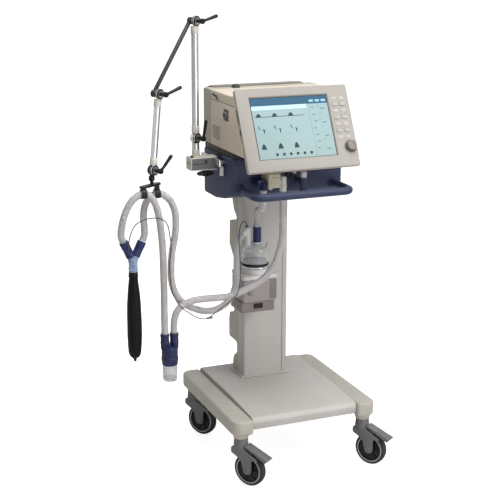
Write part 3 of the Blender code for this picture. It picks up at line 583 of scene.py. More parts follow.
tyre_half = [(0.0505, 0.0125), (0.0525, 0.0146), (0.0565, 0.0146), (0.0592, 0.0132), (0.0612, 0.0105),
             (0.0621, 0.0070), (0.0625, 0.0030)]
tyre_model = lathed("tyre_model", two_sided(tyre_half), 96, AXLE)
ring_half = [(0.0470, 0.0120), (0.0475, 0.0152), (0.0500, 0.0156), (0.0512, 0.0146), (0.0512, 0.0110)]
ring_model = lathed("ring_model", two_sided(ring_half), 96, AXLE)
hub_half = [(0.0053, 0.0158), (0.0145, 0.0158), (0.0162, 0.0140), (0.0175, 0.0088), (0.0400, 0.0078),
            (0.0438, 0.0094), (0.0468, 0.0140), (0.0474, 0.0100)]
hub_model = lathed("hub_model", two_sided(hub_half), 96, AXLE)
print("tyre faces", len(tyre_model.data.polygons))

# %% spokes that stiffen the hub's dish
RIBS = 7
ribs = []
for side in (-1, 1):
    for number in range(RIBS):
        rib = block(f"rib_{side}_{number}", (0.0160, -0.0014, 0.0070), (0.0445, 0.0014, 0.0112), 0.0009, 2)
        spread = Matrix.Rotation(math.tau * number / RIBS, 4, "Z")
        flip = Matrix.Rotation(math.pi if side < 0 else 0, 4, "X")
        rib.data.transform(AXLE @ spread @ flip)
        ribs.append(rib)
hub_model = together("hub_model", [hub_model, *ribs])

# %% castors at their stems
CASTOR_X = 0.250
CASTOR_Y = 0.254
CASTOR_TURN = math.radians(-55)
for side, x_word in ((-1, "left"), (1, "right")):
    for end, y_word in ((-1, "front"), (1, "rear")):
        name = f"{y_word}_{x_word}"
        stem = Matrix.Translation((side * CASTOR_X, end * CASTOR_Y, 0)) @ Matrix.Rotation(CASTOR_TURN, 4, "Z")
        tyre = copy_of(tyre_model, f"castor_tyre_{name}", stem)
        settle(tyre, "rubber", f"wheel_{name}", [f"castor_wheel_{name}"])
        ring = copy_of(ring_model, f"castor_ring_{name}", stem)
        settle(ring, "ring", f"wheel_{name}")
        hub = copy_of(hub_model, f"castor_hub_{name}", stem)
        settle(hub, "black", f"wheel_{name}")
        fork = softened(f"castor_fork_{name}", f"castor_housing_{name}", 0.0013)
        settle(fork, "casting", f"castor_{name}", [f"castor_fork_{name}"])
        caps = [
            bar("cap", (CASTOR_TRAIL, face * 0.0205, WHEEL_RADIUS),
                (CASTOR_TRAIL, face * 0.0242, WHEEL_RADIUS),
                0.0088, 0.0070, 0.0008, 40)
            for face in (-1, 1)
        ]
        collar = lathed("collar", [(0.0258, 0.150), (0.0272, 0.1515), (0.0272, 0.1600), (0.0258, 0.1612)], 48)
        fittings = together(f"castor_fittings_{name}", [*caps, collar])
        fittings.data.transform(stem)
        settle(fittings, "casting", f"castor_{name}")
for model in (tyre_model, ring_model, hub_model):
    bpy.data.objects.remove(model)
print("castors", len([name for name in made_pieces if name.startswith("castor_tyre")]))

# %% [markdown]
# The two front castors have a foot brake: a wedge that slopes down past the wheel. It gets moulded ridges
# across its top, for the sole of a shoe to grip.

# %% brake pedals
PIN = (0.030, 0.1555)
PEDAL_SLOPE = math.tan(math.radians(23))
for side, x_word in ((-1, "left"), (1, "right")):
    name = f"front_{x_word}"
    stem = Matrix.Translation((side * CASTOR_X, -CASTOR_Y, 0)) @ Matrix.Rotation(CASTOR_TURN, 4, "Z")
    wedge = softened(f"brake_pedal_{name}", f"brake_wedge_{name}", 0.0016)
    ridges = []
    for number in range(5):
        along = 0.045 + 0.009 * number
        height = PIN[1] + 0.0030 - along * PEDAL_SLOPE
        ridge = block("ridge", (-0.0014, -0.0150, -0.0008), (0.0014, 0.0150, 0.0010), 0.0006, 2)
        ridge.data.transform(stem @ Matrix.Translation((PIN[0] + along, 0, height)))
        ridges.append(ridge)
    settle(together(wedge.name, [wedge, *ridges]), "casting", f"pedal_{name}",
           [f"brake_pedal_{name}"])
print("brake pedals done")

# %% [markdown]
# The base. Two side beams stand over the castors, with a round foot where each stem goes in, and a moulded
# cover lies between them: flat where things are put down, then sloping to a soft front edge.

# %% side beams
SKIRT_INNER, SKIRT_OUTER = 0.2125, 0.290
SKIRT_FRONT, SKIRT_BACK = -0.290, 0.300
SKIRT_BOTTOM, SKIRT_TOP = 0.196, 0.250
FOOT_BOTTOM = 0.179
for side, word in ((-1, "left"), (1, "right")):
    plan = rounded(
        [(side * SKIRT_INNER, SKIRT_FRONT, 0.012), (side * SKIRT_OUTER, SKIRT_FRONT, 0.034),
         (side * SKIRT_OUTER, SKIRT_BACK, 0.034), (side * SKIRT_INNER, SKIRT_BACK, 0.012)],
        0.012, 8,
    )
    beam = drawn(f"{word}_side_beam", plan, "Z", SKIRT_BOTTOM, SKIRT_TOP, 0.0075, 4)
    parts = [beam]
    for end in (-1, 1):
        foot = [(0, 0), (0.0255, 0), (0.0268, 0.0015), (0.0290, 0.0080), (0.0318, 0.0200), (0.0322, 0.0300),
                (0, 0.03)]
        parts.append(lathed("foot", foot, 64,
                            Matrix.Translation((side * CASTOR_X, end * CASTOR_Y, FOOT_BOTTOM))))
    settle(together(beam.name, parts), "skirt", "root", [f"{word}_base_skirt"])

# %% cover between the beams
PLATFORM_TOP = 0.262
outer_line = [(0.285, 0.208), (0.290, 0.250, 0.006), (0.276, PLATFORM_TOP, 0.006),
              (-0.065, PLATFORM_TOP, 0.02),
              (-0.250, 0.2535, 0.02), (-0.268, 0.250, 0.010), (-0.2765, 0.236, 0.008), (-0.272, 0.208)]
inner_line = [(-0.268, 0.208), (-0.2720, 0.235), (-0.266, 0.2465), (-0.250, 0.2495), (-0.065, 0.258),
              (0.274, 0.258), (0.286, 0.2470), (0.281, 0.208)]
cover_line = rounded([(y, z, *more) if more else (y, z, 0) for y, z, *more in outer_line + inner_line], 0, 5)
cover = drawn("base_cover", cover_line, "X", -SKIRT_INNER + 0.0012, SKIRT_INNER - 0.0012, 0.0009, 2)
walls = [cover]
wall_line = [(0.276, 0.244), (0.276, 0.2590), (-0.065, 0.2595), (-0.249, 0.2505), (-0.262, 0.2470),
             (-0.262, 0.244)]
for side in (-1, 1):
    low, high = sorted((side * (SKIRT_INNER - 0.0013), side * (SKIRT_INNER - 0.0050)))
    walls.append(drawn("wall", wall_line, "X", low, high, 0.0004, 1))
settle(together("base_cover", walls), "warm_grey", "root", ["base_platform"])
repaint("chassis_frame", "casting")
print("base done")

# %% [markdown]
# The column is a folded front cover and a moulded rear cover, which bulges where the hoses and cables are
# parked. A shadow line runs down the front near its right edge, where a slim strip clips on.

# %% column
COLUMN_HALF = 0.092
COLUMN_TOP = 1.0055
COLUMN_SEAM = 0.172
foot_z = PLATFORM_TOP + 0.0003
GROOVE = 0.070
front_line = rounded(
    [(-COLUMN_HALF, COLUMN_SEAM, 0), (-COLUMN_HALF, COLUMN_FRONT, 0.007),
     (GROOVE - 0.0016, COLUMN_FRONT, 0.001),
     (GROOVE - 0.0010, COLUMN_FRONT + 0.003, 0), (GROOVE + 0.0010, COLUMN_FRONT + 0.003, 0),
     (GROOVE + 0.0016, COLUMN_FRONT, 0.001), (COLUMN_HALF, COLUMN_FRONT, 0.007),
     (COLUMN_HALF, COLUMN_SEAM, 0)],
    0.0, 8,
)
settle(drawn("column_front", front_line, "Z", foot_z, COLUMN_TOP), "warm_grey", "root",
       ["column_cover"])
seam = COLUMN_SEAM + 0.0012
rear_line = rounded(
    [(seam, COLUMN_TOP, 0), (0.236, COLUMN_TOP, 0), (0.232, 0.955), (0.216, 0.920), (0.190, 0.900),
     (0.190, 0.880), (0.262, 0.872), (0.266, 0.775), (0.222, 0.728), (0.206, 0.690), (0.206, 0.540),
     (0.222, 0.502), (0.264, 0.490), (0.271, 0.460), (0.271, 0.386), (0.188, 0.384), (0.184, 0.345),
     (0.222, 0.318), (0.229, 0.290), (0.229, foot_z, 0), (seam, foot_z, 0)],
    0.012, 6,
)
# The rear cover takes the olive of the shade on the column's left side: painted shade.
settle(drawn("column_back", rear_line, "X", -COLUMN_HALF, COLUMN_HALF, 0.004, 4, 40), "olive", "root",
       ["column_rear_cover"])
flange = block("flange", (-0.104, 0.098, PLATFORM_TOP + 0.0002), (0.104, 0.236, PLATFORM_TOP + 0.0042),
               0.0018, 3)
settle(flange, "warm_grey", "root").name = "column_foot_trim"
repaint("column_post", "steel")
print("column done")

# %% [markdown]
# The navy tub carries the ventilator's body and holds the gas connections. It is one moulding with soft
# edges, a belly that rises to the front, a dark band of painted shade where the body sits in its recess,
# and a handle bar that leaves the front at both ends and runs round in one tube.

# %% lower housing
HOUSING_HALF = 0.220
HOUSING_FRONT = -0.090
HOUSING_BACK = 0.200
HOUSING_TOP = 1.200
tub_line = rounded(
    [(HOUSING_FRONT, HOUSING_TOP - 0.018, 0), (HOUSING_FRONT, 1.047, 0.022), (-0.010, 1.022, 0.04),
     (0.080, 1.008, 0.03), (HOUSING_BACK, 1.008, 0.012), (HOUSING_BACK, HOUSING_TOP - 0.018, 0)],
    0.010, 6,
)
tub = drawn("navy_housing", tub_line, "X", -HOUSING_HALF, HOUSING_HALF, 0.006, 4, 40)
settle(tub, "navy", "root", ["lower_housing"])
# A dark band round the top of the tub and a black strip on its left side are painted shade, where the recess
# under the body falls dark.
band = block("housing_shade_band", (-HOUSING_HALF + 0.004, HOUSING_FRONT + 0.006, HOUSING_TOP - 0.0185),
             (HOUSING_HALF - 0.004, HOUSING_BACK - 0.003, HOUSING_TOP + 0.0050), 0.001, 2)
settle(band, "dark", "root")
recess = block("side_recess_shade", (-HOUSING_HALF - 0.0006, 0.010, 1.176), (-HOUSING_HALF + 0.01, 0.186, 1.1815),
               0.0004, 2)
settle(recess, "black", "root")

# %% front handle
HANDLE_Z = 1.067
HANDLE_HALF = 0.186
HANDLE_FRONT = -0.244
HANDLE_BEND = 0.030


def round_bar(name, points, radius, sides=8):
    """A curve with a round bevel, made a mesh."""
    line = bpy.data.curves.new(name, "CURVE")
    line.dimensions = "3D"
    line.bevel_depth = radius
    line.bevel_resolution = sides
    line.use_fill_caps = True
    spline = line.splines.new("POLY")
    spline.points.add(len(points) - 1)
    for target, point in zip(spline.points, points):
        target.co = (*point, 1)
    piece = bpy.data.objects.new(name, line)
    bpy.context.scene.collection.objects.link(piece)
    only(piece)
    bpy.ops.object.convert(target="MESH")
    piece = bpy.context.object
    bpy.ops.object.mode_set(mode="EDIT")
    bpy.ops.mesh.select_all(action="SELECT")
    bpy.ops.mesh.remove_doubles(threshold=1e-6)
    bpy.ops.mesh.normals_make_consistent(inside=False)
    bpy.ops.object.mode_set(mode="OBJECT")
    return piece


bend = [math.radians(7.5 * step) for step in range(13)]
left_run = [(-HANDLE_HALF + HANDLE_BEND - HANDLE_BEND * math.cos(a),
             HANDLE_FRONT + HANDLE_BEND - HANDLE_BEND * math.sin(a), HANDLE_Z) for a in bend]
right_run = [(-x, y, z) for x, y, z in reversed(left_run)]
handle_line = [(-HANDLE_HALF, HOUSING_FRONT + 0.002, HANDLE_Z), *left_run, *right_run,
               (HANDLE_HALF, HOUSING_FRONT + 0.002, HANDLE_Z)]
handle = round_bar("front_handle_bar", handle_line, 0.0145)
roots = [lathed("root", [(0.0150, 0), (0.0195, 0.0005), (0.0195, 0.006), (0.0175, 0.010), (0.0150, 0.012)],
                40,
                aimed((side * HANDLE_HALF, HOUSING_FRONT + 0.001, HANDLE_Z),
                      (side * HANDLE_HALF, HOUSING_FRONT - 0.100, HANDLE_Z))) for side in (-1, 1)]
settle(together("front_handle_bar", [handle, *roots]), "navy", "root", ["front_handle"])

# %% equipment rail on the left side
RAIL_OUTER = -HOUSING_HALF - 0.026
rail = block("equipment_rail", (RAIL_OUTER, -0.030, 1.1445), (RAIL_OUTER + 0.010, 0.160, 1.1695), 0.0009, 3)
posts = [bar("post", (RAIL_OUTER + 0.005, y, 1.157), (-HOUSING_HALF + 0.001, y, 1.157), 0.007, None,
             0.0006) for y in (-0.010, 0.140)]
screws = []
for y in (-0.010, 0.140):
    head = lathed("screw",
                  [(0, 0.0022), (0.0016, 0.0022), (0.0016, 0.0034), (0.0042, 0.0034), (0.0056, 0.0024),
                   (0.0060, 0), (0, 0)], 32,
                  Matrix.Translation((RAIL_OUTER, y, 1.157)) @ Matrix.Rotation(math.radians(-90), 4, "Y"))
    head.data.transform(Matrix.Translation((0.0026, 0, 0)))
    screws.append(head)
settle(together("equipment_rail", [rail, *posts, *screws]), "steel", "root", ["side_rail"])
print("housing done")

# %% [markdown]
# The body is a beige case whose front leans back behind the screen. On the real one it comes apart at
# two seams: a lid line near the top and an upright line near the back, where the rear strip starts. So
# it is modelled as three mouldings with a real gap between them over a core coloured as painted shade.

# %% body case
BODY_BOTTOM = 1.2053
BODY_TOP = 1.408
BODY_BACK = 0.195
TILT = math.radians(27.2)
LEAN = math.tan(TILT)
FRONT_FOOT = -0.1985
LID_Z = 1.3740
STRIP_Y = 0.126
SEAM_GAP = 0.0014


def leaning_front(z):
    return FRONT_FOOT + (z - BODY_BOTTOM) * LEAN


case_line = [(leaning_front(BODY_BOTTOM), BODY_BOTTOM), (STRIP_Y - SEAM_GAP, BODY_BOTTOM),
             (STRIP_Y - SEAM_GAP, LID_Z - SEAM_GAP), (leaning_front(LID_Z - SEAM_GAP), LID_Z - SEAM_GAP)]
# Case and lid take the lightened beige: painted light against the shade on the left side.
case = drawn("body_case", case_line, "X", -HOUSING_HALF, HOUSING_HALF, 0.0022, 3)
settle(case, "beige_lightened_for_shade", "root", ["body_shell"])
lid_line = rounded([(leaning_front(LID_Z), LID_Z), (STRIP_Y - SEAM_GAP, LID_Z),
                    (STRIP_Y - SEAM_GAP, BODY_TOP),
                    (leaning_front(BODY_TOP), BODY_TOP, 0.004)], 0, 5)
lid = drawn("body_lid", lid_line, "X", -HOUSING_HALF, HOUSING_HALF, 0.0045, 4)
settle(lid, "beige_lightened_for_shade", "root")
# The rear strip takes the olive of the shade on the body's left side: painted shade.
strip_line = [(STRIP_Y, BODY_BOTTOM), (BODY_BACK, BODY_BOTTOM), (BODY_BACK, BODY_TOP), (STRIP_Y, BODY_TOP)]
strip = drawn("body_back_strip", strip_line, "X", -HOUSING_HALF, HOUSING_HALF, 0.0035, 4)
settle(strip, "olive", "root")
# The core's dark colour is painted shade, seen through the seam gaps.
core_line = [(leaning_front(BODY_BOTTOM) + 0.006, BODY_BOTTOM + 0.004),
             (BODY_BACK - 0.004, BODY_BOTTOM + 0.004),
             (BODY_BACK - 0.004, BODY_TOP - 0.006), (leaning_front(BODY_TOP) + 0.006, BODY_TOP - 0.006)]
core = drawn("body_core_shade", core_line, "X", -HOUSING_HALF + 0.0035, HOUSING_HALF - 0.0035)
settle(core, "groove", "root")

# %% fittings on the left side: a round gas port, and dark marks of painted shade for a handle recess and for the slit behind the screen
SIDE = -HOUSING_HALF
port_place = Matrix.Translation((SIDE + 0.0004, -0.036, 1.334)) @ Matrix.Rotation(math.radians(-90), 4, "Y")
# A dark square round the port is painted shade of the recess it sits in.
surround_line = rectangle((-0.0570, 1.3130), (-0.0150, 1.3550), 0.004, 4)
surround = drawn("side_port_recess_shade", surround_line, "X", SIDE - 0.0022, SIDE + 0.0010, 0.0006, 2)
settle(surround, "groove", "root")
port = lathed("side_port_ring",
              [(0.0074, 0.0), (0.0128, 0.0), (0.0128, 0.0080), (0.0118, 0.0098), (0.0096, 0.0098),
                                 (0.0082, 0.0080), (0.0074, 0.0030)], 64, port_place)
settle(port, "knob", "root")
inner = lathed("side_port_insert",
               [(0, 0.0010), (0.0044, 0.0010), (0.0050, 0.0068), (0.0062, 0.0074), (0.0070, 0.0060),
                                    (0.0073, 0.0), (0, 0.0)], 48, port_place)
settle(inner, "dark", "root")


def lying_on_side(name, start, end, width, height, look):
    """A slim raised mark on the left side, between two (y, z) ends."""
    along = Vector((0, end[0] - start[0], end[1] - start[1]))
    shape = block(name, (-height, -width / 2, 0), (0.001, width / 2, along.length),
                  min(height, width) * 0.35, 3)
    turn = Matrix.Rotation(math.atan2(-along.y, along.z), 4, "X")
    shape.data.transform(Matrix.Translation((SIDE, *start)) @ turn)
    return settle(shape, look, "root")


# Two dark bars near the top rear corner are painted shade of a handle recess.
lying_on_side("handle_recess_shade_upper", (0.103, 1.3945), (0.060, 1.3895), 0.0060, 0.0040, "dark")
lying_on_side("handle_recess_shade_lower", (0.070, 1.3905), (0.048, 1.3800), 0.0050, 0.0036, "dark")
# Two black lines along the screen's left edge are painted shadow, in the slit between the screen unit and the
# body.
for number, (y, z, length) in enumerate(((-0.1335, 1.3640, 0.052), (-0.1655, 1.3010, 0.026))):
    end = (y - length * 0.48, z - length * 0.87)
    lying_on_side(f"screen_slit_shadow_{number + 1}", (y, z), end, 0.0032, 0.0008, "black")
# Six flat strips stand for vent slots; their dark colour is painted shade.
for number in range(6):
    z = 1.2360 + 0.0085 * number
    lying_on_side(f"side_vent_{number + 1}", (0.030, z), (0.104, z), 0.0026, 0.0008, "groove")
print("side fittings done")

# %% rear panel with its fan grille, gas inlets and mains inlet
REAR = BODY_BACK + 0.008
rear_line = [(-0.2185, BODY_BOTTOM), (0.2185, BODY_BOTTOM), (0.2185, BODY_TOP - 0.010),
             (0.172, BODY_TOP + 0.006),
             (-0.190, BODY_TOP + 0.006), (-0.2185, BODY_TOP - 0.004)]
rear = drawn("rear_plate", rear_line, "Y", BODY_BACK + 0.0003, REAR, 0.0012, 2)
ledge = drawn("ledge",
              [(-0.196, BODY_TOP + 0.0004), (0.182, BODY_TOP + 0.0004), (0.172, BODY_TOP + 0.006),
               (-0.190, BODY_TOP + 0.006)],
              "Y", 0.172, REAR - 0.001, 0.0012, 2)
settle(ledge, "lid_edge", "root")
rear_parts = [rear]
FAN = (0.105, 1.310)
for number in range(5):
    size = 0.012 + 0.0095 * number
    hoop = lathed("hoop",
                  [(size - 0.0012, 0), (size - 0.0012, 0.0022), (size + 0.0012, 0.0022),
                   (size + 0.0012, 0)], 56,
                  Matrix.Translation((FAN[0], REAR - 0.0004, FAN[1])) @ Matrix.Rotation(math.radians(-90),
                                                                                        4, "X"))
    rear_parts.append(hoop)
for number in range(4):
    spoke = block("spoke", (-0.0016, 0, -0.052), (0.0016, 0.0018, 0.052), 0.0005, 2)
    spoke.data.transform(Matrix.Translation((FAN[0], REAR - 0.0004,
                                             FAN[1])) @ Matrix.Rotation(math.pi * number / 4, 4, "Y"))
    rear_parts.append(spoke)
for row in range(9):
    z = 1.226 + 0.0062 * row
    rear_parts.append(block("louvre", (-0.190, REAR - 0.0006, z), (-0.090, REAR + 0.0016, z + 0.0022),
                            0.0006, 2))
settle(together("rear_plate", rear_parts), "dark", "root", ["rear_panel"])
FACING_BACK = Matrix.Rotation(math.radians(-90), 4, "X")
for number, x in enumerate((-0.060, -0.005)):
    nut = [(0, 0), (0.0125, 0), (0.0125, 0.0042), (0.0095, 0.0050), (0.0088, 0.0085), (0.0060, 0.0092),
           (0.0050, 0.0060), (0, 0.0060)]
    inlet = lathed("gas_inlet", nut, 40, Matrix.Translation((x, REAR - 0.0004, 1.250)) @ FACING_BACK)
    settle(inlet, "bright", "root").name = f"gas_inlet_{number + 1}"
mains = block("mains_inlet", (-0.160, REAR - 0.0004, 1.310), (-0.110, REAR + 0.0052, 1.338), 0.0018, 3)
pins = [block("pin", (x - 0.0011, REAR + 0.0048, 1.3205), (x + 0.0011, REAR + 0.0062, 1.3275), 0.0004,
              2) for x in (-0.145, -0.135, -0.125)]
settle(mains, "black", "root")
settle(together("mains_pins", pins), "bright", "root")

# %% dome on the lid, the cap of a nurse-call lamp
dome = [(0, 0.0130), (0.0060, 0.0126), (0.0105, 0.0110), (0.0140, 0.0080), (0.0160, 0.0040),
        (0.0165, 0.0008), (0.0175, 0.0), (0, 0.0)]
settle(lathed("lid_dome", dome, 56, Matrix.Translation((-0.111, 0.146, BODY_TOP - 0.0004))), "dark", "root")
print("body done")

# %% [markdown]
# The screen unit tilts on the body. Its bezel is one moulding with round corners and a window whose rim
# slopes in to the glass. The pieces are drawn flat, as if the screen lay on a bench, and one matrix then
# stands them up at the screen's lean.

# %% bezel, back and glass
PANEL = PLACE @ Matrix.Translation((0, -0.248, 1.159)) @ Matrix.Rotation(math.pi / 2 - TILT, 4, "X")
PANEL_HALF = 0.219
PANEL_HEIGHT = 0.310
WINDOW_LOW = Vector((-0.1675, 0.0450))
WINDOW_HIGH = Vector((0.1355, 0.2750))


face = drawn("screen_bezel", rectangle((-PANEL_HALF, 0), (PANEL_HALF, PANEL_HEIGHT), 0.007, 8), "Z", -0.010,
             0, 0.0028, 4, 50)
well = drawn("well", rectangle(WINDOW_LOW, WINDOW_HIGH, 0.0015, 4), "Z", -0.020, 0.020)
flare = drawn("flare", rectangle(WINDOW_LOW, WINDOW_HIGH, 0.0015, 4), "Z", -0.0035, 0.004)
for vertex in flare.data.vertices:
    if vertex.co.z > 0:
        centre = (WINDOW_LOW + WINDOW_HIGH) / 2
        half = (WINDOW_HIGH - WINDOW_LOW) / 2
        vertex.co.x = centre.x + (vertex.co.x - centre.x) * (half.x + 0.0080) / half.x
        vertex.co.y = centre.y + (vertex.co.y - centre.y) * (half.y + 0.0080) / half.y
KEY_COLUMNS = (0.160, 0.190)
KEY_ROWS = (0.135, 0.185, 0.235)
pockets = [block("pocket", (u - 0.0107, v - 0.0067, -0.0040), (u + 0.0107, v + 0.0067, 0.01), 0)
           for u in KEY_COLUMNS for v in KEY_ROWS]
cut_away(face, well, flare, *pockets)
settle(face, "beige", "display", ["display_bezel"], PANEL)
# The back takes the lightened beige too: painted light against the shade on its side.
back = drawn("screen_back",
             rectangle((-PANEL_HALF + 0.001, 0.001), (PANEL_HALF - 0.001, PANEL_HEIGHT - 0.001), 0.007, 8),
             "Z", -0.0195, -0.0106, 0.0022, 3, 50)
settle(back, "beige_lightened_for_shade", "display", ["display_housing"], PANEL)
print("bezel done")

# %% [markdown]
# The glass shows curves of pressure and flow over a pale ground with a blue title bar. A screen gives
# its own light, so its finish has a little emission, and the colour fades from bar to ground by height
# on the panel. The curves are thin shapes laid on the glass, with no lettering.

# %% screen finishes


def glowing(name, colour, strength, second=None):
    """A lit screen colour; with a second colour it fades up the panel, and both drift a little."""
    made = bpy.data.materials.new(name)
    made.use_nodes = True
    tree = made.node_tree
    shader = tree.nodes["Principled BSDF"]
    place = tree.nodes.new("ShaderNodeTexCoord").outputs["Object"]
    drift = ranged(tree, noise_of(tree, place, 30.0, 2.0, "backlight"), 0.3, 0.7, 0.0, 0.25)
    if second:
        split = tree.nodes.new("ShaderNodeSeparateXYZ")
        tree.links.new(place, split.inputs["Vector"])
        drift = ranged(tree, split.outputs["Z"], 1.20, 1.40)
    tone = mixed(tree, drift, colour, second or tuple(part * 0.9 for part in colour))
    tree.links.new(tone, shader.inputs["Base Color"])
    tree.links.new(tone, shader.inputs["Emission Color"])
    shader.inputs["Emission Strength"].default_value = strength
    shader.inputs["Roughness"].default_value = 0.5
    shader.inputs["Specular IOR Level"].default_value = 0.3
    return made


LOOK["screen"] = glowing("lit screen", (0.275, 0.375, 0.375), 0.16, (0.235, 0.335, 0.355))
LOOK["screen_bar"] = glowing("screen title bar", (0.010, 0.070, 0.130), 0.16)
LOOK["screen_soft"] = glowing("screen soft band", (0.24, 0.43, 0.55), 0.2)
LOOK["screen_ink"] = glowing("screen curve", (0.010, 0.022, 0.035), 0.02)
LOOK["screen_mark"] = glowing("screen small mark", (0.10, 0.20, 0.27), 0.1)
LOOK["screen_pale"] = glowing("screen pale field", (0.40, 0.60, 0.66), 0.22)

# %% glass and what it shows
GLASS = -0.0035
glass = block("screen_glass", (WINDOW_LOW.x - 0.002, WINDOW_LOW.y - 0.002, -0.0090),
              (WINDOW_HIGH.x + 0.002, WINDOW_HIGH.y + 0.002, GLASS), 0.0004, 2)
settle(glass, "screen", "display", ["screen_panel"], PANEL)


# A thin dark frame round the window, widest at the top and half as wide at the bottom: painted shadow of the
# bezel's rim on the glass.
EDGE = 0.0024
low, high = WINDOW_LOW, WINDOW_HIGH
glass_edge_shadow = [block("glass_edge_shadow", (low.x, high.y - EDGE, GLASS - 0.001), (high.x, high.y, GLASS + 0.0006), 0.0002, 1),
          block("glass_edge_shadow", (low.x, low.y, GLASS - 0.001), (high.x, low.y + EDGE * 0.5, GLASS + 0.0006),
                0.0002, 1),
          block("glass_edge_shadow", (low.x, low.y, GLASS - 0.001), (low.x + EDGE, high.y, GLASS + 0.0006), 0.0002, 1),
          block("glass_edge_shadow", (high.x - EDGE, low.y, GLASS - 0.001), (high.x, high.y, GLASS + 0.0006), 0.0002, 1)]
settle(together("screen_glass_edge_shadow", glass_edge_shadow), "dark", "display", (), PANEL)


def shown(name, outlines, look, lift=0.0002):
    """Flat shapes on the glass, joined into one piece; an outline is a list of (x, v) points."""
    shapes = [drawn("shape", outline, "Z", GLASS - 0.0002, GLASS + lift) for outline in outlines]
    return settle(together(name, shapes), look, "display", (), PANEL)


def field(x, v, width, height):
    return [(x, v), (x + width, v), (x + width, v + height), (x, v + height)]


shown("screen_title_bar", [field(-0.1660, 0.2440, 0.3000, 0.0290)], "screen_bar")
shown("screen_band", [field(-0.1660, 0.2290, 0.2150, 0.0150)], "screen_pale", 0.00015)
shown("screen_side_column", [field(0.0560, 0.0480, 0.0008, 0.1780)], "screen_mark", 0.0003)

# %% first curve: three low breaths on a long baseline
BASE_V = 0.2030
ink = [field(-0.158, BASE_V - 0.0009, 0.192, 0.0018)]
for x in (-0.143, -0.081, -0.018):
    ink.append([(x - 0.0100, BASE_V), (x + 0.0100, BASE_V), (x + 0.0072, BASE_V + 0.0085),
                (x + 0.0030, BASE_V + 0.0125),
                (x - 0.0030, BASE_V + 0.0120), (x - 0.0078, BASE_V + 0.0070)])
# second curve: flow swings up, then down
for x in (-0.1490, -0.0870, -0.0235):
    ink.append([(x - 0.0035, 0.1660), (x - 0.0010, 0.1715), (x + 0.0022, 0.1590), (x + 0.0050, 0.1575),
                (x + 0.0010, 0.1560)])
    down = x + 0.0175
    ink.append([(down - 0.0045, 0.1585), (down + 0.0040, 0.1560), (down + 0.0020, 0.1440),
                (down - 0.0010, 0.1400),
                (down - 0.0006, 0.1500)])
# third curve: filled humps of volume
for x in (-0.1420, -0.0780, -0.0160):
    hump = [(x - 0.0100 + 0.0200 * step / 10,
             0.0835 + 0.0205 * math.sin(math.pi * step / 10) ** 0.8) for step in range(11)]
    ink.append(hump)
shown("screen_curves", ink, "screen_ink", 0.0004)

# %% soft keys, value boxes and small marks
dots = []
for number in range(6):
    x = -0.0970 + 0.0266 * number
    dots.append(rectangle((x - 0.0048, 0.0572), (x + 0.0048, 0.0668), 0.0018, 3))
shown("screen_soft_keys", dots, "screen_ink", 0.0004)
shown("screen_boxes",
      [field(0.0620 + 0.0240 * column, 0.2505 - 0.0001 * column, 0.0170, 0.0085) for column in range(3)],
      "screen_soft", 0.0005)
marks = []
for row, v in enumerate((0.2280, 0.2010, 0.1760, 0.1500, 0.1250, 0.1010, 0.0760)):
    marks.append(field(0.0640 + 0.0030 * (row % 3), v, 0.0120, 0.0032))
    if row % 2 == 0:
        marks.append(field(0.1010, v - 0.0060, 0.0160, 0.0040))
    marks.append(field(0.0900 + 0.0060 * (row % 2), v + 0.0060, 0.0050, 0.0022))
shown("screen_marks", marks, "screen_mark", 0.0004)
print("screen done")

# %% [markdown]
# Six keys travel in their pockets, each with a small moulded bar as its mark. Between them the keypad has
# flat pads under a foil that don't move. The knob below turns: a ribbed skirt, a dished top and a dark
# ring round its foot.

# %% keys and keypad
for row, v in enumerate(KEY_ROWS):
    for column, u in enumerate(KEY_COLUMNS):
        name = f"key_{row + 1}_{('left', 'right')[column]}"
        cap = block("cap", (u - 0.0099, v - 0.0059, -0.0028), (u + 0.0099, v + 0.0059, 0.0022), 0.0011, 3)
        settle(cap, "key", f"{name}_cap", [name], PANEL).name = f"{name}_cap_piece"
        bars = [block("mark", (u - 0.0040, v - 0.0010, 0.0020), (u + 0.0040, v + 0.0010, 0.00245), 0.0002, 2)]
        if (row + column) % 2:
            bars.append(block("mark", (u - 0.0010, v - 0.0036, 0.0020), (u + 0.0010, v + 0.0036, 0.00245),
                              0.0002, 2))
        settle(together("marks", bars), "key_mark", f"{name}_cap", (),
               PANEL).name = f"{name}_mark"
pads = []
for v in (0.110, 0.160, 0.210, 0.258):
    for u in KEY_COLUMNS:
        pads.append(drawn("pad", rectangle((u - 0.0095, v - 0.0058), (u + 0.0095, v + 0.0058), 0.0016, 4),
                          "Z", -0.001, 0.0007, 0.0004, 2))
settle(together("keypad_pads", pads), "key", "display", (), PANEL)

# %% rotary knob
KNOB = Matrix.Translation((0.193, 0.074, 0))
skirt = lathed("knob_body",
               [(0, 0.0004), (0.0222, 0.0004), (0.0224, 0.0020), (0.0216, 0.0032), (0.0198, 0.0040),
                (0.0190, 0.0130), (0.0180, 0.0152), (0.0160, 0.0159), (0.0120, 0.0150), (0.0060, 0.0142),
                             (0, 0.0140)], 72, KNOB)
grips = []
for number in range(24):
    grip = block("grip", (0.0184, -0.0007, 0.0045), (0.0200, 0.0007, 0.0130), 0.0005, 2)
    grip.data.transform(KNOB @ Matrix.Rotation(math.tau * number / 24, 4, "Z"))
    grips.append(grip)
settle(together("knob_body", [skirt, *grips]), "knob", "knob", ["rotary_knob"], PANEL)
dot = block("knob_mark", (0.193 - 0.0010, 0.074 + 0.0092, 0.0146),
            (0.193 + 0.0010, 0.074 + 0.0150, 0.01605), 0.0004, 2)
settle(dot, "key_mark", "knob", (), PANEL)
foot = lathed("knob_foot_ring",
              [(0.0226, -0.0010), (0.0252, -0.0010), (0.0252, 0.0006), (0.0240, 0.0011), (0.0226, 0.0008)],
              72, KNOB)
settle(foot, "key_mark", "display", (), PANEL)
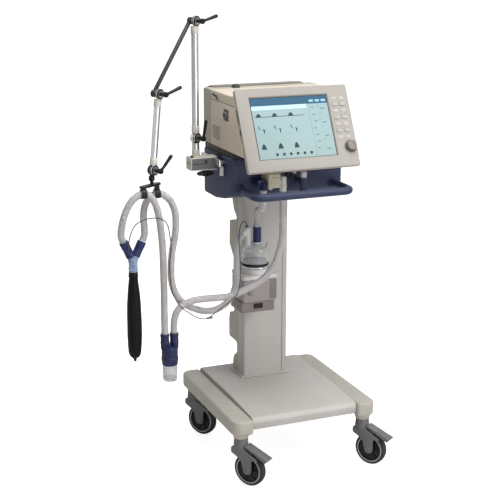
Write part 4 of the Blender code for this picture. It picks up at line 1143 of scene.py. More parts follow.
print("keys and knob done")

# %% [markdown]
# Gas connections stand in front of the tub, under the screen: the breathing-out valve with its cream
# cover, the blue breathing-in outlet, a sensor socket, and a small navy bowl with a pale top. Each has the
# turned rims and joint lines that a moulded connector has.

# %% breathing-out valve and breathing-in outlet
FACE = HOUSING_FRONT - 0.0003
cover = block("valve_cover", (-0.108, -0.165, 1.080), (-0.0595, FACE, 1.134), 0.0055, 4)
lug = block("lug", (-0.104, -0.160, 1.074), (-0.0900, -0.110, 1.081), 0.002, 3)
cap = lathed("cap", [(0, 0.0030), (0.0130, 0.0030), (0.0145, 0.0018), (0.0150, 0), (0, 0)], 48,
             Matrix.Translation((-0.0838, -0.1648, 1.107)) @ Matrix.Rotation(math.radians(90), 4, "X"))
settle(together("valve_cover", [cover, lug, cap]), "cream", "root", ["expiratory_valve"])
socket = [(0, 0), (0.0118, 0), (0.0125, 0.0008), (0.0125, 0.0160), (0.0140, 0.0175), (0.0140, 0.0215),
          (0.0125, 0.0230), (0.0125, 0.0470), (0.0105, 0.0530), (0, 0.0530)]
valve_port = lathed("valve_port", socket, 48, Matrix.Translation((-0.045, -0.150, 1.0652)))
neck = block("neck", (-0.070, -0.157, 1.092), (-0.045, -0.143, 1.106), 0.0015, 2)
settle(together("valve_port", [valve_port, neck]), "white", "root")
outlet = block("outlet_block", (-0.144, -0.152, 1.088), (-0.1125, FACE, 1.112), 0.0035, 3)
tap = lathed("tap",
             [(0, 0), (0.0118, 0), (0.0125, 0.0008), (0.0125, 0.0120), (0.0138, 0.0132), (0.0138, 0.0160),
                     (0.0125, 0.0172), (0.0125, 0.0280), (0.0105, 0.0300), (0, 0.0300)], 48,
                     Matrix.Translation((-0.122, -0.150, 1.0742)))
settle(together("outlet_block", [outlet, tap]), "blue", "root", ["inspiratory_port"])

# %% sensor socket, pale spigot and nebuliser bowl
FACING_FRONT = Matrix.Rotation(math.radians(90), 4, "X")
knurl = [(0, 0), (0.0110, 0), (0.0110, 0.0100), (0.0095, 0.0125), (0.0060, 0.0130), (0.0052, 0.0100),
         (0, 0.0100)]
settle(lathed("sensor_socket", knurl, 40, Matrix.Translation((0.001, FACE + 0.0002, 1.113)) @ FACING_FRONT),
       "black", "root")
spigot = [(0, 0), (0.0062, 0), (0.0062, 0.0090), (0.0048, 0.0110), (0.0048, 0.0200), (0.0038, 0.0210),
          (0, 0.0210)]
settle(lathed("pale_spigot", spigot, 32, Matrix.Translation((0.021, FACE + 0.0002, 1.121)) @ FACING_FRONT),
       "white", "root")
BOWL = Matrix.Translation((0.037, -0.150, 1.056))
bowl = lathed("bowl",
              [(0, 0), (0.0120, 0), (0.0145, 0.0020), (0.0150, 0.0045), (0.0150, 0.0440), (0.0142, 0.0455),
               (0.0142, 0.0475), (0.0150, 0.0490), (0.0146, 0.0520), (0, 0.0520)], 48, BOWL)
arm_stay = block("stay", (0.030, -0.144, 1.083), (0.044, FACE, 1.097), 0.002, 3)
settle(together("nebuliser_bowl", [bowl, arm_stay]), "navy", "root", ["nebuliser_port"])
top = lathed("nebuliser_top",
             [(0, 0.0520), (0.0112, 0.0522), (0.0115, 0.0535), (0.0112, 0.0640), (0.0122, 0.0650),
              (0.0122, 0.0680), (0.0105, 0.0700), (0.0095, 0.0755), (0, 0.0760)], 48, BOWL)
settle(top, "white", "root")
print("ports done")

# %% [markdown]
# The humidifier hangs on the column: a heater with a round hot plate, and a clear dome chamber clipped on
# the plate. Gas comes in through the blue cuff and leaves, warm, through the elbow at the side.

# %% heater
wall = COLUMN_FRONT - 0.0003
heater = block("heater_body", (-0.146, -0.020, 0.610), (-0.010, wall - 0.008, 0.7000), 0.0060, 4)
settle(heater, "heater", "root", ["humidifier_base"])
heater_top = block("heater_top_band", (-0.1475, -0.0215, 0.6985), (-0.0085, wall - 0.006, 0.7165), 0.0055, 4)
plate = lathed("plate",
               [(0, 0.712), (0.0600, 0.712), (0.0604, 0.7200), (0.0600, 0.7330), (0.0582, 0.7358),
                (0, 0.7358)], 72,
               Matrix.Translation((-0.074, 0.043, 0)))
settle(together("heater_top_band", [heater_top, plate]), "white", "root")
stand = block("stand", (-0.152, -0.014, 0.570), (-0.016, wall - 0.010, 0.6115), 0.0035, 3)
bracket = block("bracket", (-0.112, wall - 0.010, 0.566), (-0.036, wall, 0.728), 0.0015, 2)
pocket = block("pocket", (-0.102, -0.030, 0.584), (-0.064, -0.008, 0.604), 0)
cut_away(stand, pocket)
settle(together("heater_stand", [stand, bracket]), "heater_low", "root")
strip = block("heater_side_strip", (-0.0380, -0.0212, 0.6200), (-0.0105, -0.0190, 0.6960), 0.0008, 2)
settle(strip, "heater_low", "root")
dial = lathed("heater_dial", [(0, 0.0052), (0.0085, 0.0052), (0.0098, 0.0040), (0.0102, 0), (0, 0)], 40,
              Matrix.Translation((-0.1190, -0.0198, 0.6490)) @ FACING_FRONT)
settle(dial, "heater_low", "root")
rocker_line = rounded([(-0.0165, 0.5852), (-0.0152, 0.5940, 0.004), (-0.0165, 0.6028), (-0.0090, 0.6028),
                       (-0.0090, 0.5852)], 0.0006, 4)
settle(drawn("rocker_switch", rocker_line, "X", -0.1012, -0.0648, 0.0004, 2), "black", "switch",
       ["humidifier_switch"])

# %% chamber, with a wall of its own thickness so that light passes through it as through the real one
CHAMBER = Matrix.Translation((-0.074, 0.043, 0))
dome_outer = [(0.0500, 0.7530), (0.0505, 0.7560), (0.0505, 0.7850), (0.0488, 0.7970), (0.0440, 0.8090),
              (0.0340, 0.8210), (0.0220, 0.8285), (0.0, 0.8300)]
dome_inner = [(0.0, 0.8278), (0.0215, 0.8262), (0.0328, 0.8190), (0.0424, 0.8076), (0.0468, 0.7962),
              (0.0485, 0.7845), (0.0485, 0.7560), (0.0482, 0.7530)]
shell = lathed("chamber_dome", [*dome_outer, *dome_inner, dome_outer[0]], 72, CHAMBER)
settle(shell, "clear", "root", ["water_chamber"])
clamp_ring = lathed("chamber_ring",
                    [(0.0470, 0.7440), (0.0520, 0.7440), (0.0528, 0.7450), (0.0528, 0.7510), (0.0520, 0.7525),
                                     (0.0470, 0.7525)], 72, CHAMBER)
settle(clamp_ring, "black", "root")
base_disc = lathed("chamber_base",
                   [(0, 0.7362), (0.0500, 0.7362), (0.0510, 0.7375), (0.0500, 0.7400), (0, 0.7400)], 72,
                   CHAMBER)
settle(base_disc, "bright", "root")
water = lathed("chamber_water",
               [(0, 0.7405), (0.0468, 0.7405), (0.0476, 0.7440), (0.0476, 0.7600), (0, 0.7600)], 64, CHAMBER)
LOOK["water"] = clear("water", (0.86, 0.91, 0.95), 0.02, 1.33, 0.1)
settle(water, "water", "root")

# %% inlet cuff, outlet elbow, feed spike and temperature probe
INLET = Matrix.Translation((-0.068, 0.036, 0))
cuff = lathed("inlet_cuff",
              [(0, 0.8330), (0.0156, 0.8330), (0.0164, 0.8345), (0.0164, 0.8400), (0.0158, 0.8412),
               (0.0158, 0.8820), (0.0164, 0.8832), (0.0164, 0.8920), (0.0156, 0.8940), (0, 0.8940)], 48,
                                 INLET)
settle(cuff, "cuff_blue", "root")
collars = lathed("inlet_collars",
                 [(0, 0.8200), (0.0158, 0.8200), (0.0165, 0.8220), (0.0165, 0.8310), (0.0152, 0.8335),
                  (0, 0.8335)], 48, INLET)
upper = lathed("upper",
               [(0, 0.8930), (0.0150, 0.8930), (0.0160, 0.8940), (0.0160, 0.8960), (0.0150, 0.8970),
                (0, 0.8970)], 48, INLET)
settle(together("inlet_collars", [collars, upper]), "white", "root")
riser = lathed("outlet_riser",
               [(0, 0.7950), (0.0115, 0.7950), (0.0115, 0.8100), (0.0128, 0.8115), (0.0128, 0.8150),
                (0.0115, 0.8165), (0.0115, 0.8860), (0.0095, 0.8905), (0, 0.8920)], 40,
                                Matrix.Translation((-0.104, 0.040, 0)))
elbow = bar("elbow", (-0.1035, 0.0385, 0.886), (-0.1297, 0.0297, 0.8663), 0.0128, 0.0140, 0.0010, 40)
settle(together("outlet_elbow", [riser, elbow]), "white", "root")
spike = bar("spike", (-0.046, 0.044, 0.800), (-0.024, 0.038, 0.806), 0.0055, 0.0048, 0.0006)
spike_top = bar("spike_top", (-0.0255, 0.0385, 0.802), (-0.0235, 0.0380, 0.826), 0.0052, 0.0040, 0.0006)
settle(together("feed_spike", [spike, spike_top]), "cream", "root")
probe = bar("probe", (-0.110, 0.036, 0.8915), (-0.110, 0.036, 0.9005), 0.0050, 0.0040, 0.0006)
hanging = bar("hanging", (0.002, wall - 0.0065, 0.626), (0.002, wall - 0.0065, 0.684), 0.0042, 0.0036, 0.0010)
settle(together("probe_plugs", [probe, hanging]), "black", "root")
print("humidifier done")

# %% [markdown]
# The support arm is three tubes and a thin dark boom, joined by clamping hinges. Each hinge has two discs
# on one pin: pale faces with dark rims, and a lever whose head stands off on a short neck. The arm is
# modelled in its own frame, with X outwards, Y along the pins and Z up, and swung into place by a matrix.

# %% tubes
ARM = PLACE @ Matrix.Translation((-0.307, 0.050, 0)) @ Matrix.Rotation(math.radians(210), 4, "Z")
BASE_JOINT, TOP_JOINT = (0.0, 1.244), (0.0, 1.665)
MIDDLE_JOINT, LOW_JOINT = (0.200, 1.425), (0.234, 1.160)
CHEEK = 0.0125
NECK_LENGTH = 0.0182


def joint_disc(joint, side, radius=0.0175):
    """One half of a hinge: a disc with an eased rim, on one side of the arm's middle plane."""
    depth = CHEEK - 0.00015
    profile = [(0, 0), (radius - 0.0006, 0), (radius, 0.0006), (radius, depth - 0.0012),
               (radius - 0.0012, depth), (0, depth)]
    turn = Matrix.Rotation(math.radians(-90 * side), 4, "X")
    return lathed("disc", profile, 56, Matrix.Translation((joint[0], side * 0.00015, joint[1])) @ turn)


def tongue(joint, toward, side):
    start = Vector(joint)
    along = (Vector(toward) - start).normalized() * (NECK_LENGTH + 0.006)
    across = Vector((along.y, -along.x)).normalized() * 0.009
    corners = [start + across, start + along + across, start + along - across, start - across]
    low, high = sorted((side * 0.001, side * (CHEEK - 0.001)))
    return drawn("tongue", [tuple(corner) for corner in corners], "Y", low, high, 0.001, 2)


def arm_tube(name, low, high, radius, joints, body, node):
    """A tube between two ends with an eased collar, and its share of the hinges."""
    start = Vector((low[0], 0, low[1]))
    end = Vector((high[0], 0, high[1]))
    length = (end - start).length
    line = [(0, 0), (radius - 0.0008, 0), (radius, 0.0008), (radius, length - 0.0008),
            (radius - 0.0008, length), (0, length)]
    parts = [lathed("tube", line, 56, aimed(start, end))]
    for joint, toward, side in joints:
        parts += [joint_disc(joint, side), tongue(joint, toward, side)]
    return settle(together(name, parts), "steel", body, [node], ARM)


def toward(start, end, distance):
    step = (Vector(end) - Vector(start)).normalized() * distance
    return tuple(Vector(start) + step)


arm_tube("arm_socket_tube", (0, 1.1303), (0, BASE_JOINT[1] - NECK_LENGTH), 0.013,
         [(BASE_JOINT, (0, 0), -1)], "stub", "arm_stub")
arm_tube("arm_upright", (0, BASE_JOINT[1] + NECK_LENGTH), (0, TOP_JOINT[1] - NECK_LENGTH), 0.013,
         [(BASE_JOINT, TOP_JOINT, 1), (TOP_JOINT, BASE_JOINT, 1)], "post", "arm_post")
arm_tube("arm_lower_tube", toward(MIDDLE_JOINT, LOW_JOINT, NECK_LENGTH),
         toward(LOW_JOINT, MIDDLE_JOINT, NECK_LENGTH), 0.012,
         [(MIDDLE_JOINT, LOW_JOINT, 1), (LOW_JOINT, MIDDLE_JOINT, 1)], "drop", "arm_drop_tube")

# %% boom
BOOM_SIDE = -0.0215
boom = bar("boom", (TOP_JOINT[0], BOOM_SIDE, TOP_JOINT[1]), (MIDDLE_JOINT[0], BOOM_SIDE, MIDDLE_JOINT[1]),
           0.0075, None, 0.001, 40)
eyes = []
for joint in (TOP_JOINT, MIDDLE_JOINT):
    eye = [(0, 0), (0.0124, 0), (0.0130, 0.0008), (0.0130, 0.0245), (0.0118, 0.0257), (0, 0.0257)]
    eyes.append(lathed("eye", eye, 48,
                       Matrix.Translation((joint[0], -0.00015,
                                           joint[1])) @ Matrix.Rotation(math.radians(90), 4, "X")))
settle(together("arm_thin_boom", [boom, *eyes]), "dark", "boom", ["arm_boom"], ARM)

# %% dark rims on the hinge discs, and the sleeves where tubes meet hinges
rim_line = [(0.0168, 0.0096), (0.0182, 0.0100), (0.0182, 0.0122), (0.0172, 0.0131), (0.0138, 0.0131),
            (0.0134, 0.0124), (0.0160, 0.0120)]
for name, joint, body in (("base", BASE_JOINT, "post"), ("top", TOP_JOINT, "post"),
                          ("middle", MIDDLE_JOINT, "drop"),
                          ("low", LOW_JOINT, "drop")):
    across = Matrix.Translation((joint[0], 0, joint[1])) @ Matrix.Rotation(math.radians(-90), 4, "X")
    rim = lathed("rim", rim_line, 56, across)
    back_line = [(0.0172, 0.0020), (0.0184, 0.0028), (0.0184, 0.0052), (0.0172, 0.0060)]
    back_rim = lathed("rim", back_line, 56, across)
    settle(together(f"{name}_hinge_rim", [rim, back_rim]), "black", body, (), ARM)
for name, spot, aim, radius, body in (
    ("socket", (0, 1.1760), (0, 1.3), 0.0134, "stub"), ("upright_low", (0, 1.2625), (0, 1.4), 0.0134, "post"),
    ("upright_top", (0, 1.6465), (0, 1.2), 0.0134, "post"),
    ("lower_top", toward(MIDDLE_JOINT, LOW_JOINT, 0.0185), LOW_JOINT, 0.0125, "drop"),
    ("lower_low", toward(LOW_JOINT, MIDDLE_JOINT, 0.0185), MIDDLE_JOINT, 0.0125, "drop"),
):
    line = [(radius - 0.0010, 0), (radius + 0.0006, 0.0004), (radius + 0.0010, 0.0012),
            (radius + 0.0010, 0.0250), (radius + 0.0004, 0.0262),
            (radius - 0.0010, 0.0262)]
    sleeve = lathed("sleeve", line, 48, aimed((spot[0], 0, spot[1]), (aim[0], 0, aim[1])))
    settle(sleeve, "zinc", body, (), ARM).name = f"{name}_tube_sleeve"

# %% lock levers
LEVERS = {"base": (BASE_JOINT, 0), "top": (TOP_JOINT, -76), "middle": (MIDDLE_JOINT, -72),
          "low": (LOW_JOINT, -40)}
REACH = 0.070
for name, (joint, lean) in LEVERS.items():
    x, z = joint
    lean = math.radians(lean)
    pin = lathed("pin",
                 [(0, CHEEK + 0.0003), (0.0062, CHEEK + 0.0003), (0.0068, CHEEK + 0.0012), (0.0062, 0.0190),
                  (0.0058, 0.0270), (0.0086, 0.0290), (0.0098, 0.0315), (0.0098, 0.0400),
                         (0.0086, 0.0425), (0, 0.0432)], 40,
                 Matrix.Translation((x, 0, z)) @ Matrix.Rotation(math.radians(-90), 4, "X"))
    out = Vector((math.sin(lean), 0, math.cos(lean)))
    root_end = Vector((x, 0.0350, z))
    knee = root_end + out * 0.020 + Vector((0, 0.0060, 0))
    tip = Vector((x, 0.050, z)) + out * REACH
    shank = bar("shank", root_end, knee, 0.0058, 0.0050, 0.0008)
    grip = lathed("grip",
                  [(0, -0.003), (0.0048, -0.0026), (0.0054, 0), (0.0058, 0.020), (0.0067, 0.042),
                   (0.0060, (tip - knee).length - 0.003),
                           (0.0040, (tip - knee).length - 0.0006), (0, (tip - knee).length)], 32,
                           aimed(knee, tip))
    settle(together(f"{name}_lever", [pin, shank, grip]), "black", f"{name}_lever",
           [f"{name}_lock_lever"], ARM)

# %% rail clamp with its wing knob
jaw = softened("rail_clamp", "clamp_jaws", 0.0012, 2)
settle(jaw, "zinc", "root", ["rail_clamp"])
# The jaw's inner part, towards the rail, takes the dark casting finish: painted shade, where that part lies
# in shadow.
jaw.data.materials.append(LOOK["casting"])
for face in jaw.data.polygons:
    face.material_index = 1 if face.center.x - TROLLEY.x > -0.262 else 0
slots = [block("slot", (-0.3300, 0.0214, 1.1505), (-0.2700, 0.0224, 1.1530), 0.0002, 1),
         block("slot", (-0.3365, 0.0300, 1.1505), (-0.3355, 0.0700, 1.1530), 0.0002, 1)]
slots.append(lathed("slot", [(0, 0.0042), (0.0036, 0.0042), (0.0044, 0.0034), (0.0046, 0), (0, 0)], 24,
                    Matrix.Translation((-0.2780, 0.0222, 1.1600)) @ FACING_FRONT))
settle(together("clamp_slots", slots), "black", "root")
lips = [lathed("lip",
               [(0.0136, 0), (0.0190, 0), (0.0196, 0.0008), (0.0190, 0.0038), (0.0172, 0.0048),
                (0.0136, 0.0048)], 48,
               Matrix.Translation((-0.307, 0.050, 1.1748)))]
settle(together("clamp_collar", lips), "zinc", "root")
bolt = lathed("clamp_bolt",
              [(0, 0.0060), (0.0030, 0.0060), (0.0030, 0.0035), (0.0052, 0.0052), (0.0060, 0.0040),
               (0.0060, 0), (0, 0)], 6,
              Matrix.Translation((-0.329, 0.030, 1.1748)))
settle(bolt, "black", "root")
wing_line = rounded([(-0.302, 1.104), (-0.302, 1.114), (-0.283, 1.1195), (-0.257, 1.1195), (-0.238, 1.114),
                     (-0.238, 1.104), (-0.260, 1.1005), (-0.280, 1.1005)], 0.0045, 6)
wing = drawn("wing", wing_line, "Y", 0.043, 0.057, 0.0030, 4, 45)
boss = lathed("boss",
              [(0, 1.0995), (0.0105, 1.0995), (0.0118, 1.1010), (0.0118, 1.1180), (0.0100, 1.1200),
               (0, 1.1200)], 40,
              Matrix.Translation((-0.270, 0.050, 0)))
settle(together("clamp_wing_knob", [wing, boss]), "black", "clamp_wing", ["clamp_knob"])
peg = lathed("rail_peg",
             [(0, 0), (0.0078, 0), (0.0084, 0.0010), (0.0084, 0.0260), (0.0060, 0.0280), (0.0055, 0.0340),
              (0, 0.0340)], 40,
             Matrix.Translation((-0.2290, -0.0120, 1.1090)))
settle(peg, "white", "root")
print("arm done")

# %% [markdown]
# The hose holder swings on the lowest hinge: a stem, a flat bar, and two snap clips that the hoses sit
# in. The clips are open rings, so they are cut from a full ring by a wedge.

# %% hose holder
HOLD = ARM @ Matrix.Translation((LOW_JOINT[0], 0, LOW_JOINT[1]))
pivot = PLACE.inverted() @ HOLD @ Vector((0, 0, 0))
disc = joint_disc((0, 0), -1)
disc.data.transform(PLACE.inverted() @ HOLD)
stem_x, stem_y = pivot.x - 0.0035, pivot.y + 0.006
stem_bar = bar("stem", (stem_x, stem_y, 1.108), (stem_x, stem_y, pivot.z - 0.006), 0.0062, None, 0.0008)
knuckle = lathed("knuckle",
                 [(0, 0), (0.0095, 0), (0.0105, 0.0012), (0.0105, 0.0160), (0.0090, 0.0180), (0, 0.0180)], 40,
                 Matrix.Translation((stem_x, stem_y, 1.1215)))
plate_line = rounded([(-0.5690, -0.1060), (-0.5450, -0.1060), (-0.4790, -0.0610), (-0.4790, -0.0430),
                      (-0.5010, -0.0430), (-0.5690, -0.0890)], 0.0035, 4)
plate = drawn("plate", plate_line, "Z", 1.1040, 1.1110, 0.0016, 3)
clips = []
for number, (x, y, z) in enumerate(((-0.555, -0.096, 1.083), (-0.492, -0.053, 1.071))):
    hoop = [(0.0143, -0.0100), (0.0176, -0.0100), (0.0188, -0.0088), (0.0188, 0.0088), (0.0176, 0.0100),
            (0.0143, 0.0100)]
    ring = lathed("ring", hoop, 56, Matrix.Translation((x, y, z)) @ Matrix.Rotation(math.pi / 2, 4, "Y"))
    mouth = drawn("mouth", [(y, z), (y - 0.030, z - 0.030), (y + 0.010, z - 0.040)], "X", x - 0.02, x + 0.02)
    cut_away(ring, mouth)
    lug = block("lug", (x - 0.0075, y - 0.0100, z + 0.0165), (x + 0.0075, y + 0.0100, 1.1065), 0.0015, 2)
    clips += [ring, lug]
settle(together("hose_holder_body", [disc, stem_bar, knuckle, plate, *clips]), "black", "holder",
       ["hose_holder"])

# %% [markdown]
# The Y piece joins both hoses to the test lung, a slim rubber bag with shallow pleats. Its two arms are
# pale and clear, and wear dark cuffs. The pleats are cut into the bag's own surface: every other column of
# points is drawn in a little, less and less towards the round ends.

# %% Y piece
FORK = Vector((-0.593, -0.075, 0.838))
ARM_ENDS = (Vector((-0.6285, -0.080, 0.9127)), Vector((-0.5556, -0.068, 0.9060)))
stem_line = [(0, -0.0420), (0.0150, -0.0420), (0.0162, -0.0405), (0.0162, -0.0300), (0.0174, -0.0285),
             (0.0174, -0.0255), (0.0160, -0.0240), (0.0160, -0.0060), (0.0172, -0.0030), (0.0165, 0.0080),
             (0.0120, 0.0150), (0, 0.0160)]
arms = [lathed("stem", stem_line, 48, Matrix.Translation(FORK))]
cuffs = []
for end in ARM_ENDS:
    along = (end - FORK).normalized()
    start = FORK + along * 0.002
    arms.append(bar("arm", start, FORK + along * 0.030, 0.0145, 0.0150, 0.0012, 48))
    reach = (end - FORK).length
    cuff_line = [(0, 0.0200), (0.0152, 0.0200), (0.0162, 0.0210), (0.0166, 0.0225), (0.0166, 0.0290),
                 (0.0158, 0.0302), (0.0158, 0.0560), (0.0166, 0.0572),
                 (0.0166, reach - 0.0020), (0.0158, reach - 0.0003), (0, reach - 0.0003)]
    cuffs.append(lathed("cuff", cuff_line, 48, aimed(FORK, end)))
settle(together("y_connector", arms), "pale_blue", "holder", ["y_piece"])
settle(together("y_cuffs", cuffs), "cuff_blue", "holder")
port = bar("port", FORK + Vector((0, -0.0130, -0.0150)), FORK + Vector((-0.0020, -0.0260, -0.0080)), 0.0062,
           0.0050, 0.0008)
settle(together("y_probe_port", [port]), "pale_blue", "holder")

# %% test lung
BAG_X = -0.593
BAG_Y = -0.075
BAG = Matrix.Translation((BAG_X, BAG_Y, 0))
bag_line = [(0, 0.4600), (0.0036, 0.4608), (0.0052, 0.4640), (0.0056, 0.4700), (0.0100, 0.4745),
            (0.0165, 0.4800), (0.0215, 0.4890), (0.0242, 0.5020), (0.0258, 0.5250), (0.0268, 0.5600),
            (0.0272, 0.6000), (0.0266, 0.6400), (0.0250, 0.6800), (0.0228, 0.7150), (0.0200, 0.7420),
            (0.0176, 0.7600), (0.0164, 0.7720), (0.0164, 0.7800), (0.0176, 0.7812), (0.0176, 0.7850),
            (0.0166, 0.7862), (0.0166, 0.7985), (0.0158, 0.7997), (0, 0.7997)]
bag = lathed("rubber_bag", bag_line, 72, BAG)
PLEATS = 12
PLEAT_FOOT = 0.470
PLEAT_RISE = 0.29
for point in bag.data.vertices:
    out = Vector((point.co.x - BAG_X, point.co.y - BAG_Y))
    height = (point.co.z - PLEAT_FOOT) / PLEAT_RISE
    if out.length < 0.006 or not 0 < height < 1:
        continue
    depth = 0.055 * math.sin(math.pi * height) ** 0.5
    angle = math.atan2(out.y, out.x) + 0.35 * math.sin(9 * height)
    squeeze = 1 - depth * (0.5 + 0.5 * math.cos(PLEATS * angle)) - 0.02 * math.sin(3 * angle + 14 * height)
    point.co.x = BAG_X + out.x * squeeze
    point.co.y = BAG_Y + out.y * squeeze
settle(bag, "bag", "holder", ["test_lung"], smooth=60)

# %% [markdown]
# The water trap hangs under two hoses: a dark head with two cuffs side by side, and a clear cup that
# twists off. The cup has an inner wall of its own, vertical grip ribs, and a little water in the bottom.

# %% water trap
TRAP = Matrix.Translation((-0.469, -0.100, 0))
head = lathed("head",
              [(0, 0.4402), (0.0270, 0.4402), (0.0290, 0.4420), (0.0298, 0.4550), (0.0312, 0.4570),
               (0.0312, 0.4690), (0.0300, 0.4705), (0.0300, 0.4990), (0.0312, 0.5005), (0.0312, 0.5060),
               (0.0295, 0.5120), (0.0240, 0.5150), (0, 0.5150)], 72, TRAP)
necks = []
for x in (-0.487, -0.451):
    neck_line = [(0, 0.5050), (0.0156, 0.5050), (0.0156, 0.5230), (0.0165, 0.5242), (0.0165, 0.5290),
                 (0.0156, 0.5302), (0.0156, 0.5480), (0.0165, 0.5492), (0.0165, 0.5585), (0.0155, 0.5599),
                 (0, 0.5599)]
    necks.append(lathed("neck", neck_line, 48, Matrix.Translation((x, -0.100, 0))))
settle(together("trap_head", [head, *necks]), "blue", "holder", ["water_trap_head"])
cup_outer = [(0, 0.3782), (0.0210, 0.3782), (0.0238, 0.3795), (0.0248, 0.3830), (0.0262, 0.4300),
             (0.0262, 0.4396), (0.0246, 0.4396)]
cup_inner = [(0.0246, 0.4300), (0.0232, 0.3840), (0.0205, 0.3808), (0, 0.3806)]
cup = lathed("cup", [*cup_outer, *cup_inner], 72, TRAP)
ribs = []
for number in range(18):
    angle = math.tau * number / 18
    turn = Matrix.Rotation(angle, 4, "Z")
    rib = block("rib", (0.0245, -0.0011, 0.3860), (0.0266, 0.0011, 0.4330), 0.0005, 2)
    rib.data.transform(TRAP @ turn)
    ribs.append(rib)
settle(together("trap_cup_wall", [cup, *ribs]), "clear", "trap_cup", ["water_trap_cup"])
drip = lathed("trap_water",
              [(0, 0.3810), (0.0200, 0.3812), (0.0229, 0.3845), (0.0231, 0.3905), (0, 0.3905)], 64, TRAP)
settle(drip, "water", "trap_cup")
print("circuit done")

# %% [markdown]
# The breathing hoses are smooth-bore tubes with a shallow rib wound round them every few millimetres. A
# route is a list of places the hose passes, chosen as one would lay it, and a smooth curve runs
# through them. The wall is then built ring by ring along the curve, with the ribs in its shape.

# %% routes
EXPIRATORY_ROUTE = [
    (-0.6287, -0.0800, 0.9132), (-0.6362, -0.0812, 0.9317), (-0.6355, -0.084, 0.960),
    (-0.628, -0.088, 0.998), (-0.615, -0.092, 1.034), (-0.592, -0.095, 1.067), (-0.555, -0.096, 1.084),
    (-0.522, -0.097, 1.062), (-0.503, -0.098, 1.010), (-0.494, -0.099, 0.942), (-0.489, -0.100, 0.867),
    (-0.487, -0.100, 0.737), (-0.487, -0.100, 0.650), (-0.487, -0.100, 0.590), (-0.487, -0.100, 0.5603),
]
INSPIRATORY_ROUTE = [
    (-0.5553, -0.0679, 0.9065), (-0.5468, -0.0661, 0.9245), (-0.5450, -0.0635, 0.955),
    (-0.5455, -0.059, 1.000), (-0.532, -0.055, 1.045), (-0.492, -0.053, 1.072), (-0.450, -0.055, 1.050),
    (-0.429, -0.058, 1.008), (-0.425, -0.060, 0.965), (-0.429, -0.060, 0.912), (-0.441, -0.060, 0.852),
    (-0.446, -0.060, 0.788), (-0.442, -0.060, 0.732), (-0.424, -0.060, 0.684), (-0.391, -0.060, 0.648),
    (-0.351, -0.060, 0.626), (-0.307, -0.056, 0.612), (-0.258, -0.050, 0.615), (-0.211, -0.042, 0.642),
    (-0.184, -0.031, 0.686), (-0.1745, -0.021, 0.740), (-0.1690, -0.008, 0.790),
    (-0.1590, 0.0125, 0.8330), (-0.1482, 0.0235, 0.8524), (-0.1301, 0.0296, 0.8660),
]
RETURN_ROUTE = [
    (-0.451, -0.100, 0.5603), (-0.451, -0.100, 0.596), (-0.442, -0.100, 0.634), (-0.418, -0.100, 0.659),
    (-0.378, -0.100, 0.673), (-0.333, -0.100, 0.675), (-0.286, -0.101, 0.674), (-0.240, -0.103, 0.674),
    (-0.196, -0.107, 0.686), (-0.150, -0.112, 0.706), (-0.112, -0.118, 0.729), (-0.086, -0.125, 0.757),
    (-0.064, -0.132, 0.797), (-0.050, -0.139, 0.848), (-0.043, -0.145, 0.900), (-0.044, -0.149, 0.980),
    (-0.045, -0.150, 1.0647),
]
FEED_ROUTE = [
    (-0.122, -0.150, 1.0737), (-0.122, -0.150, 1.052), (-0.120, -0.140, 1.020), (-0.110, -0.100, 0.990),
    (-0.092, -0.035, 0.972), (-0.076, 0.018, 0.955), (-0.068, 0.036, 0.927), (-0.068, 0.036, 0.8973),
]
CABLE_ROUTE = [
    (-0.615, -0.0980, 0.885), (-0.617, -0.107, 0.907), (-0.615, -0.114, 0.932), (-0.609, -0.120, 0.957),
    (-0.593, -0.125, 0.984), (-0.555, -0.127, 1.000), (-0.510, -0.128, 0.999), (-0.484, -0.127, 0.981),
    (-0.473, -0.126, 0.949), (-0.466, -0.125, 0.882), (-0.472, -0.125, 0.831), (-0.469, -0.126, 0.749),
    (-0.462, -0.128, 0.715), (-0.440, -0.130, 0.672), (-0.405, -0.130, 0.640), (-0.368, -0.129, 0.615),
    (-0.332, -0.128, 0.609), (-0.288, -0.127, 0.634), (-0.236, -0.128, 0.668), (-0.213, -0.126, 0.690),
    (-0.192, -0.105, 0.746), (-0.182, -0.075, 0.797), (-0.170, -0.035, 0.856), (-0.157, -0.006, 0.893),
    (-0.138, 0.016, 0.917), (-0.119, 0.031, 0.918), (-0.1100, 0.036, 0.9010),
]

# %% a smooth curve through a route, evenly spaced


def smooth_route(route, spacing):
    points = [Vector(point) for point in route]
    points = [points[0] * 2 - points[1], *points, points[-1] * 2 - points[-2]]
    fine = []
    for before, start, end, after in zip(points, points[1:], points[2:], points[3:]):
        for step in range(24):
            t = step / 24
            fine.append(0.5
                        * (2 * start + (end - before) * t + (2 * before - 5 * start + 4 * end - after) * t**2
                               + (3 * start - before - 3 * end + after) * t**3))
    fine.append(points[-2])
    fine = np.array(fine)
    run = np.concatenate([[0.0], np.cumsum(np.linalg.norm(np.diff(fine, axis=0), axis=1))])
    count = max(8, round(run[-1] / spacing))
    wanted = np.linspace(0, run[-1], count + 1)
    spaced = np.stack([np.interp(wanted, run, fine[:, axis]) for axis in range(3)], axis=1)
    return spaced + np.array(TROLLEY), wanted


def wall_rings(points, run, radius, rib, pitch, sides):
    """Rings of points round the curve; the frame is carried along without twisting."""
    tangents = np.gradient(points, axis=0)
    tangents /= np.linalg.norm(tangents, axis=1)[:, None]
    normal = np.cross(tangents[0], (0.3, 1.0, 0.2))
    normal /= np.linalg.norm(normal)
    turns = np.linspace(0, math.tau, sides, endpoint=False)
    rings = []
    for point, tangent, distance in zip(points, tangents, run):
        normal = normal - tangent * np.dot(normal, tangent)
        normal /= np.linalg.norm(normal)
        across = np.cross(tangent, normal)
        height = radius - rib * (0.5 - 0.5 * math.cos(math.tau * distance / pitch)) if rib else radius
        rings.append(point + height * (np.cos(turns)[:, None] * normal + np.sin(turns)[:, None] * across))
    return np.array(rings)


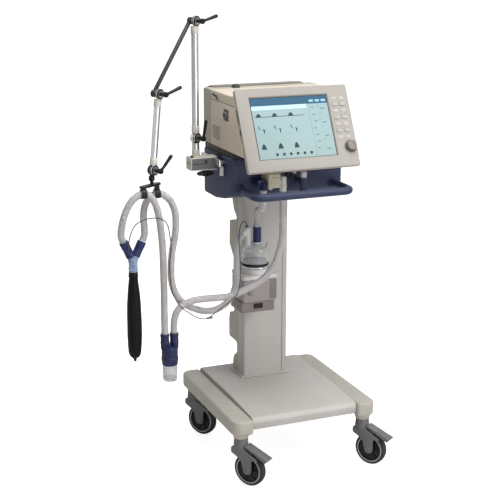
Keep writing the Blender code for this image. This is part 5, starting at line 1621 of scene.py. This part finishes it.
def tube_piece(name, outer, inner=None):
    """A closed shape from rings: a tube where an inner wall is given, else a solid cord."""
    count, sides = outer.shape[:2]
    points = [*outer.reshape(-1, 3)]
    faces = []

    def skin(first, flipped):
        for ring in range(count - 1):
            for side in range(sides):
                ahead = (side + 1) % sides
                corners = (ring * sides + side, ring * sides + ahead, (ring + 1) * sides + ahead,
                           (ring + 1) * sides + side)
                corners = tuple(first + corner for corner in corners)
                faces.append(corners[::-1] if flipped else corners)

    skin(0, False)
    last = (count - 1) * sides
    if inner is None:
        points += [outer[0].mean(axis=0), outer[-1].mean(axis=0)]
        faces += [(count * sides, (side + 1) % sides, side) for side in range(sides)]
        faces += [(count * sides + 1, last + side, last + (side + 1) % sides) for side in range(sides)]
    else:
        points += [*inner.reshape(-1, 3)]
        bore = count * sides
        skin(bore, True)
        for side in range(sides):
            ahead = (side + 1) % sides
            faces.append((side, bore + side, bore + ahead, ahead))
            faces.append((last + side, last + ahead, bore + last + ahead, bore + last + side))
    return from_points(name, points, faces=faces)


# %% hoses that cross the arm's hinges
# A hose that runs from the swinging holder to the machine crosses every hinge of the arm. So its wall is
# built once and parted into five stretches, with the same ring of points at both sides of each parting.
WALL = 0.0018


def free_hose(name, route, radius, look, node, shares=(1.0,), body="root", rib=0.0009,
              pitch=0.0050, step=0.00125, sides=20):
    """shares: where each stretch ends, from 0 to 1. With one share the piece rides on body; more stretches
    stay unattached.
    """
    points, run = smooth_route(route, step)
    rings = wall_rings(points, run, radius, rib, pitch, sides)
    bore = wall_rings(points, run, radius - WALL, 0, pitch, sides) if rib else None
    stops = [0] + [round(share * (len(points) - 1)) for share in shares]
    for number, (start, end) in enumerate(zip(stops, stops[1:])):
        inner = None if bore is None else bore[start:end + 1]
        piece = tube_piece(f"{name}_{number + 1}" if len(shares) > 1 else name, rings[start:end + 1], inner)
        piece.data.materials.append(LOOK[look])
        piece.data.shade_smooth()
        if len(shares) == 1:
            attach(piece, body)
        else:
            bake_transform(piece)
        if number == 0:
            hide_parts(node)
        made_pieces.append(piece.name)
    print(name, "length", round(float(run[-1]), 3), "m in", len(shares), "stretches")


HOSE_RADIUS = 0.013
CABLE_RADIUS = 0.002
FIFTHS = (0.2, 0.4, 0.6, 0.8, 1.0)
LONG_START = (0.34, 0.5, 0.66, 0.82, 1.0)
free_hose("expiratory_hose_wall", EXPIRATORY_ROUTE, HOSE_RADIUS, "hose", "expiratory_hose",
          body="holder")
free_hose("feed_hose_wall", FEED_ROUTE, HOSE_RADIUS, "hose", "humidifier_feed_hose")
free_hose("inspiratory_hose_wall", INSPIRATORY_ROUTE, HOSE_RADIUS, "hose", "inspiratory_hose",
          LONG_START)
free_hose("return_hose_wall", RETURN_ROUTE, HOSE_RADIUS, "hose", "trap_return_hose", FIFTHS)
free_hose("cable_jacket", CABLE_ROUTE, CABLE_RADIUS, "cable", "temperature_cable", LONG_START,
          rib=0.0, step=0.003, sides=12)

# %% clip that ties the cable to the hoses
clip = block("clip", (-0.3330, -0.1310, 0.6055), (-0.3110, -0.1240, 0.6130), 0.0012, 2)
settle(together("cable_clasp", [clip]), "casting", "post")

# %% finishes for two imported solids
for node, look in (("gas_valve_block", "bright"), ("electronics_unit", "zinc")):
    repaint(node, look)
